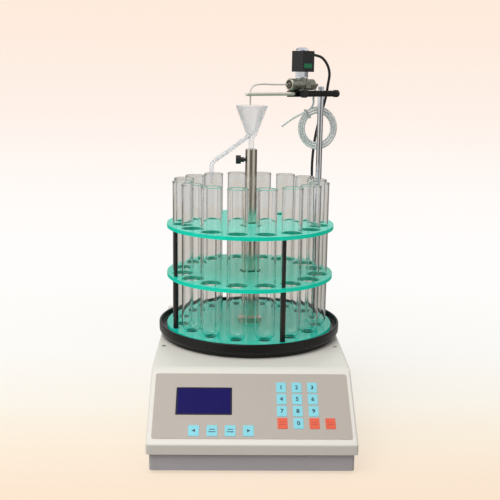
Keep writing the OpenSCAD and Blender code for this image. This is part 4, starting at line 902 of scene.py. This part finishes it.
funnel_arm = add_piece("funnel_arm", tube_mesh(
    "funnel_arm", side_path,
    [(1.3 + 1.7 * t) * MM for t in taper], 24, [(0.7 + 1.1 * t) * MM for t in taper]),
    hazy_glass, "funnel_body")
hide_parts("funnel")
screw_finish = finish("screw_black", (30, 33, 35), 0.4, mottle=0.15, bump=0.1)
dress("funnel_screw", screw_finish)

# ---- support rod and clamp ------------------------------------------------------------------
# A chromed steel rod, nutted to the case, and a black anodised clamp bar on it. Black knurled
# screws fix the bar to the rod and the pale plastic arm rod to the bar.
chrome = finish("chromed_steel", (222, 225, 232), 0.08, metal=1.0, mottle=0.03, bump=0,
                rough_spread=0.04, stretch=(1, 1, 0.1))
dress("support_rod", chrome)
dress("rod_nuts", plated_steel)
bar_black = finish("anodised_black", (11, 11, 12), 0.34, mottle=0.2, bump=0.05,
                   Specular_IOR_Level=0.3)
dress("clamp_bar", bar_black)
for node in ("rod_clamp_knob", "arm_clamp_knob"):
    dress(node, black_plastic)
red_cap = tube_mesh("pin_cap", [on_arm(x, 0, -2.6) for x in (-34.2, -35.4, -36.5, -36.9)],
                    [1.25 * MM, 1.3 * MM, 1.2 * MM, 0.7 * MM], 16)
add_piece("pin_cap", red_cap, finish("red_vinyl", (196, 30, 36), 0.4, mottle=0.1, patch=300),
          "rod_clamp_screw")
cream_plastic = finish("arm_plastic", (252, 243, 227), 0.4, mottle=0.05, patch=80)
dress("arm_rod", cream_plastic)

# ---- valve ----------------------------------------------------------------------------------
# A nickel-plated valve body with a union nut, whose end ring is the same nickel painted brighter
# as a painted highlight and holds a dark washer, and a chromed bonnet. A square moulded coil slips
# over the bonnet's stem, held by a chromed nut.
nickel = finish("dull_nickel", (150, 150, 138), 0.34, metal=0.75, mottle=0.25, patch=160)
dress("valve_body", nickel)
dress("valve_bonnet", chrome)
dress("coil_nut", chrome)
across = (Matrix.Translation(on_arm(0, 0, valve_height)) @ Matrix.Rotation(arm_angle, 4, "Z")
          @ Matrix.Rotation(math.pi / 2, 4, "Y"))
for name, profile, material in (
        # union_face: a ring of the valve's nickel, painted brighter as a painted highlight on the
        # end's chamfer.
        ("union_face", [(6.15, 62.9), (7.3, 62.9), (7.3, 63.25), (7.1, 63.35), (6.3, 63.35),
                        (6.15, 63.25)],
         finish("bright_nickel", (214, 208, 190), 0.3, metal=0.7, mottle=0.2, patch=260)),
        ("union_washer", [(3.05, 61.5), (6.05, 61.5), (6.05, 61.9), (3.05, 61.9)],
         finish("union_washer", (74, 62, 54), 0.5, mottle=0.2, patch=300))):
    ring = lathe(name, profile, Vector(), 48)
    ring.transform(across)
    add_piece(name, ring, material, "valve_arm", smooth=False)
coil_black = finish("coil_moulding", (27, 28, 32), 0.52, mottle=0.12, grain=500, bump=0.25)
dress("solenoid_coil", coil_black)
coil_side, coil_low = 11.5, 458.1 - bar_height
plate_at = on_arm(38.5, coil_side, coil_low + 8.1)
along, outward = on_arm(1, 0, 0) - on_arm(0, 0, 0), on_arm(0, 1, 0) - on_arm(0, 0, 0)
plate_turn = Matrix((-along / MM, Vector((0, 0, 1)), outward / MM)).transposed().to_4x4()
coil_plate = plate_mesh("coil_plate", round_outline(15.1, 6.2, 0.6), -0.05, 0.25, 0.1)
coil_plate.transform(Matrix.Translation(plate_at) @ plate_turn)
green_plate = finish("green_plate", (22, 132, 88), 0.45, mottle=0.1, patch=300)
add_piece("coil_plate", coil_plate, green_plate, "valve_arm", smooth=False)

# ---- drip tube ------------------------------------------------------------------------------
# Fine stiff tubing from the valve's outlet along the arm rod and down through its end, over
# the mouth of the funnel.
drip_points = [on_arm(*p) for p in (
    (67, 0, valve_height), (69.5, 0, valve_height), (91, 0, 12.5), (109.3, 0, 13),
    (120.5, 0, 12.5), (128.5, 0, 10.5), (132.8, 0, 6.5), (134, 0, 3.6), (134, 0, 0),
    (134, 0, -4), (134, 0, -11), (134, 0, -14.4))]
milky_tube = let_light_through(haze(finish(
    "milky_drip_tube", (226, 224, 216), 0.3, mottle=0.04), 0.7, 0.9), (246, 246, 246),
    walls_seen_through)
drip_r = 1.1
drip_tube = add_piece(
    "drip_tube", tube_mesh("drip_tube", smooth_line(drip_points, 4), drip_r * MM, 12),
    milky_tube, "valve_arm")
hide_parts("outlet_tube")
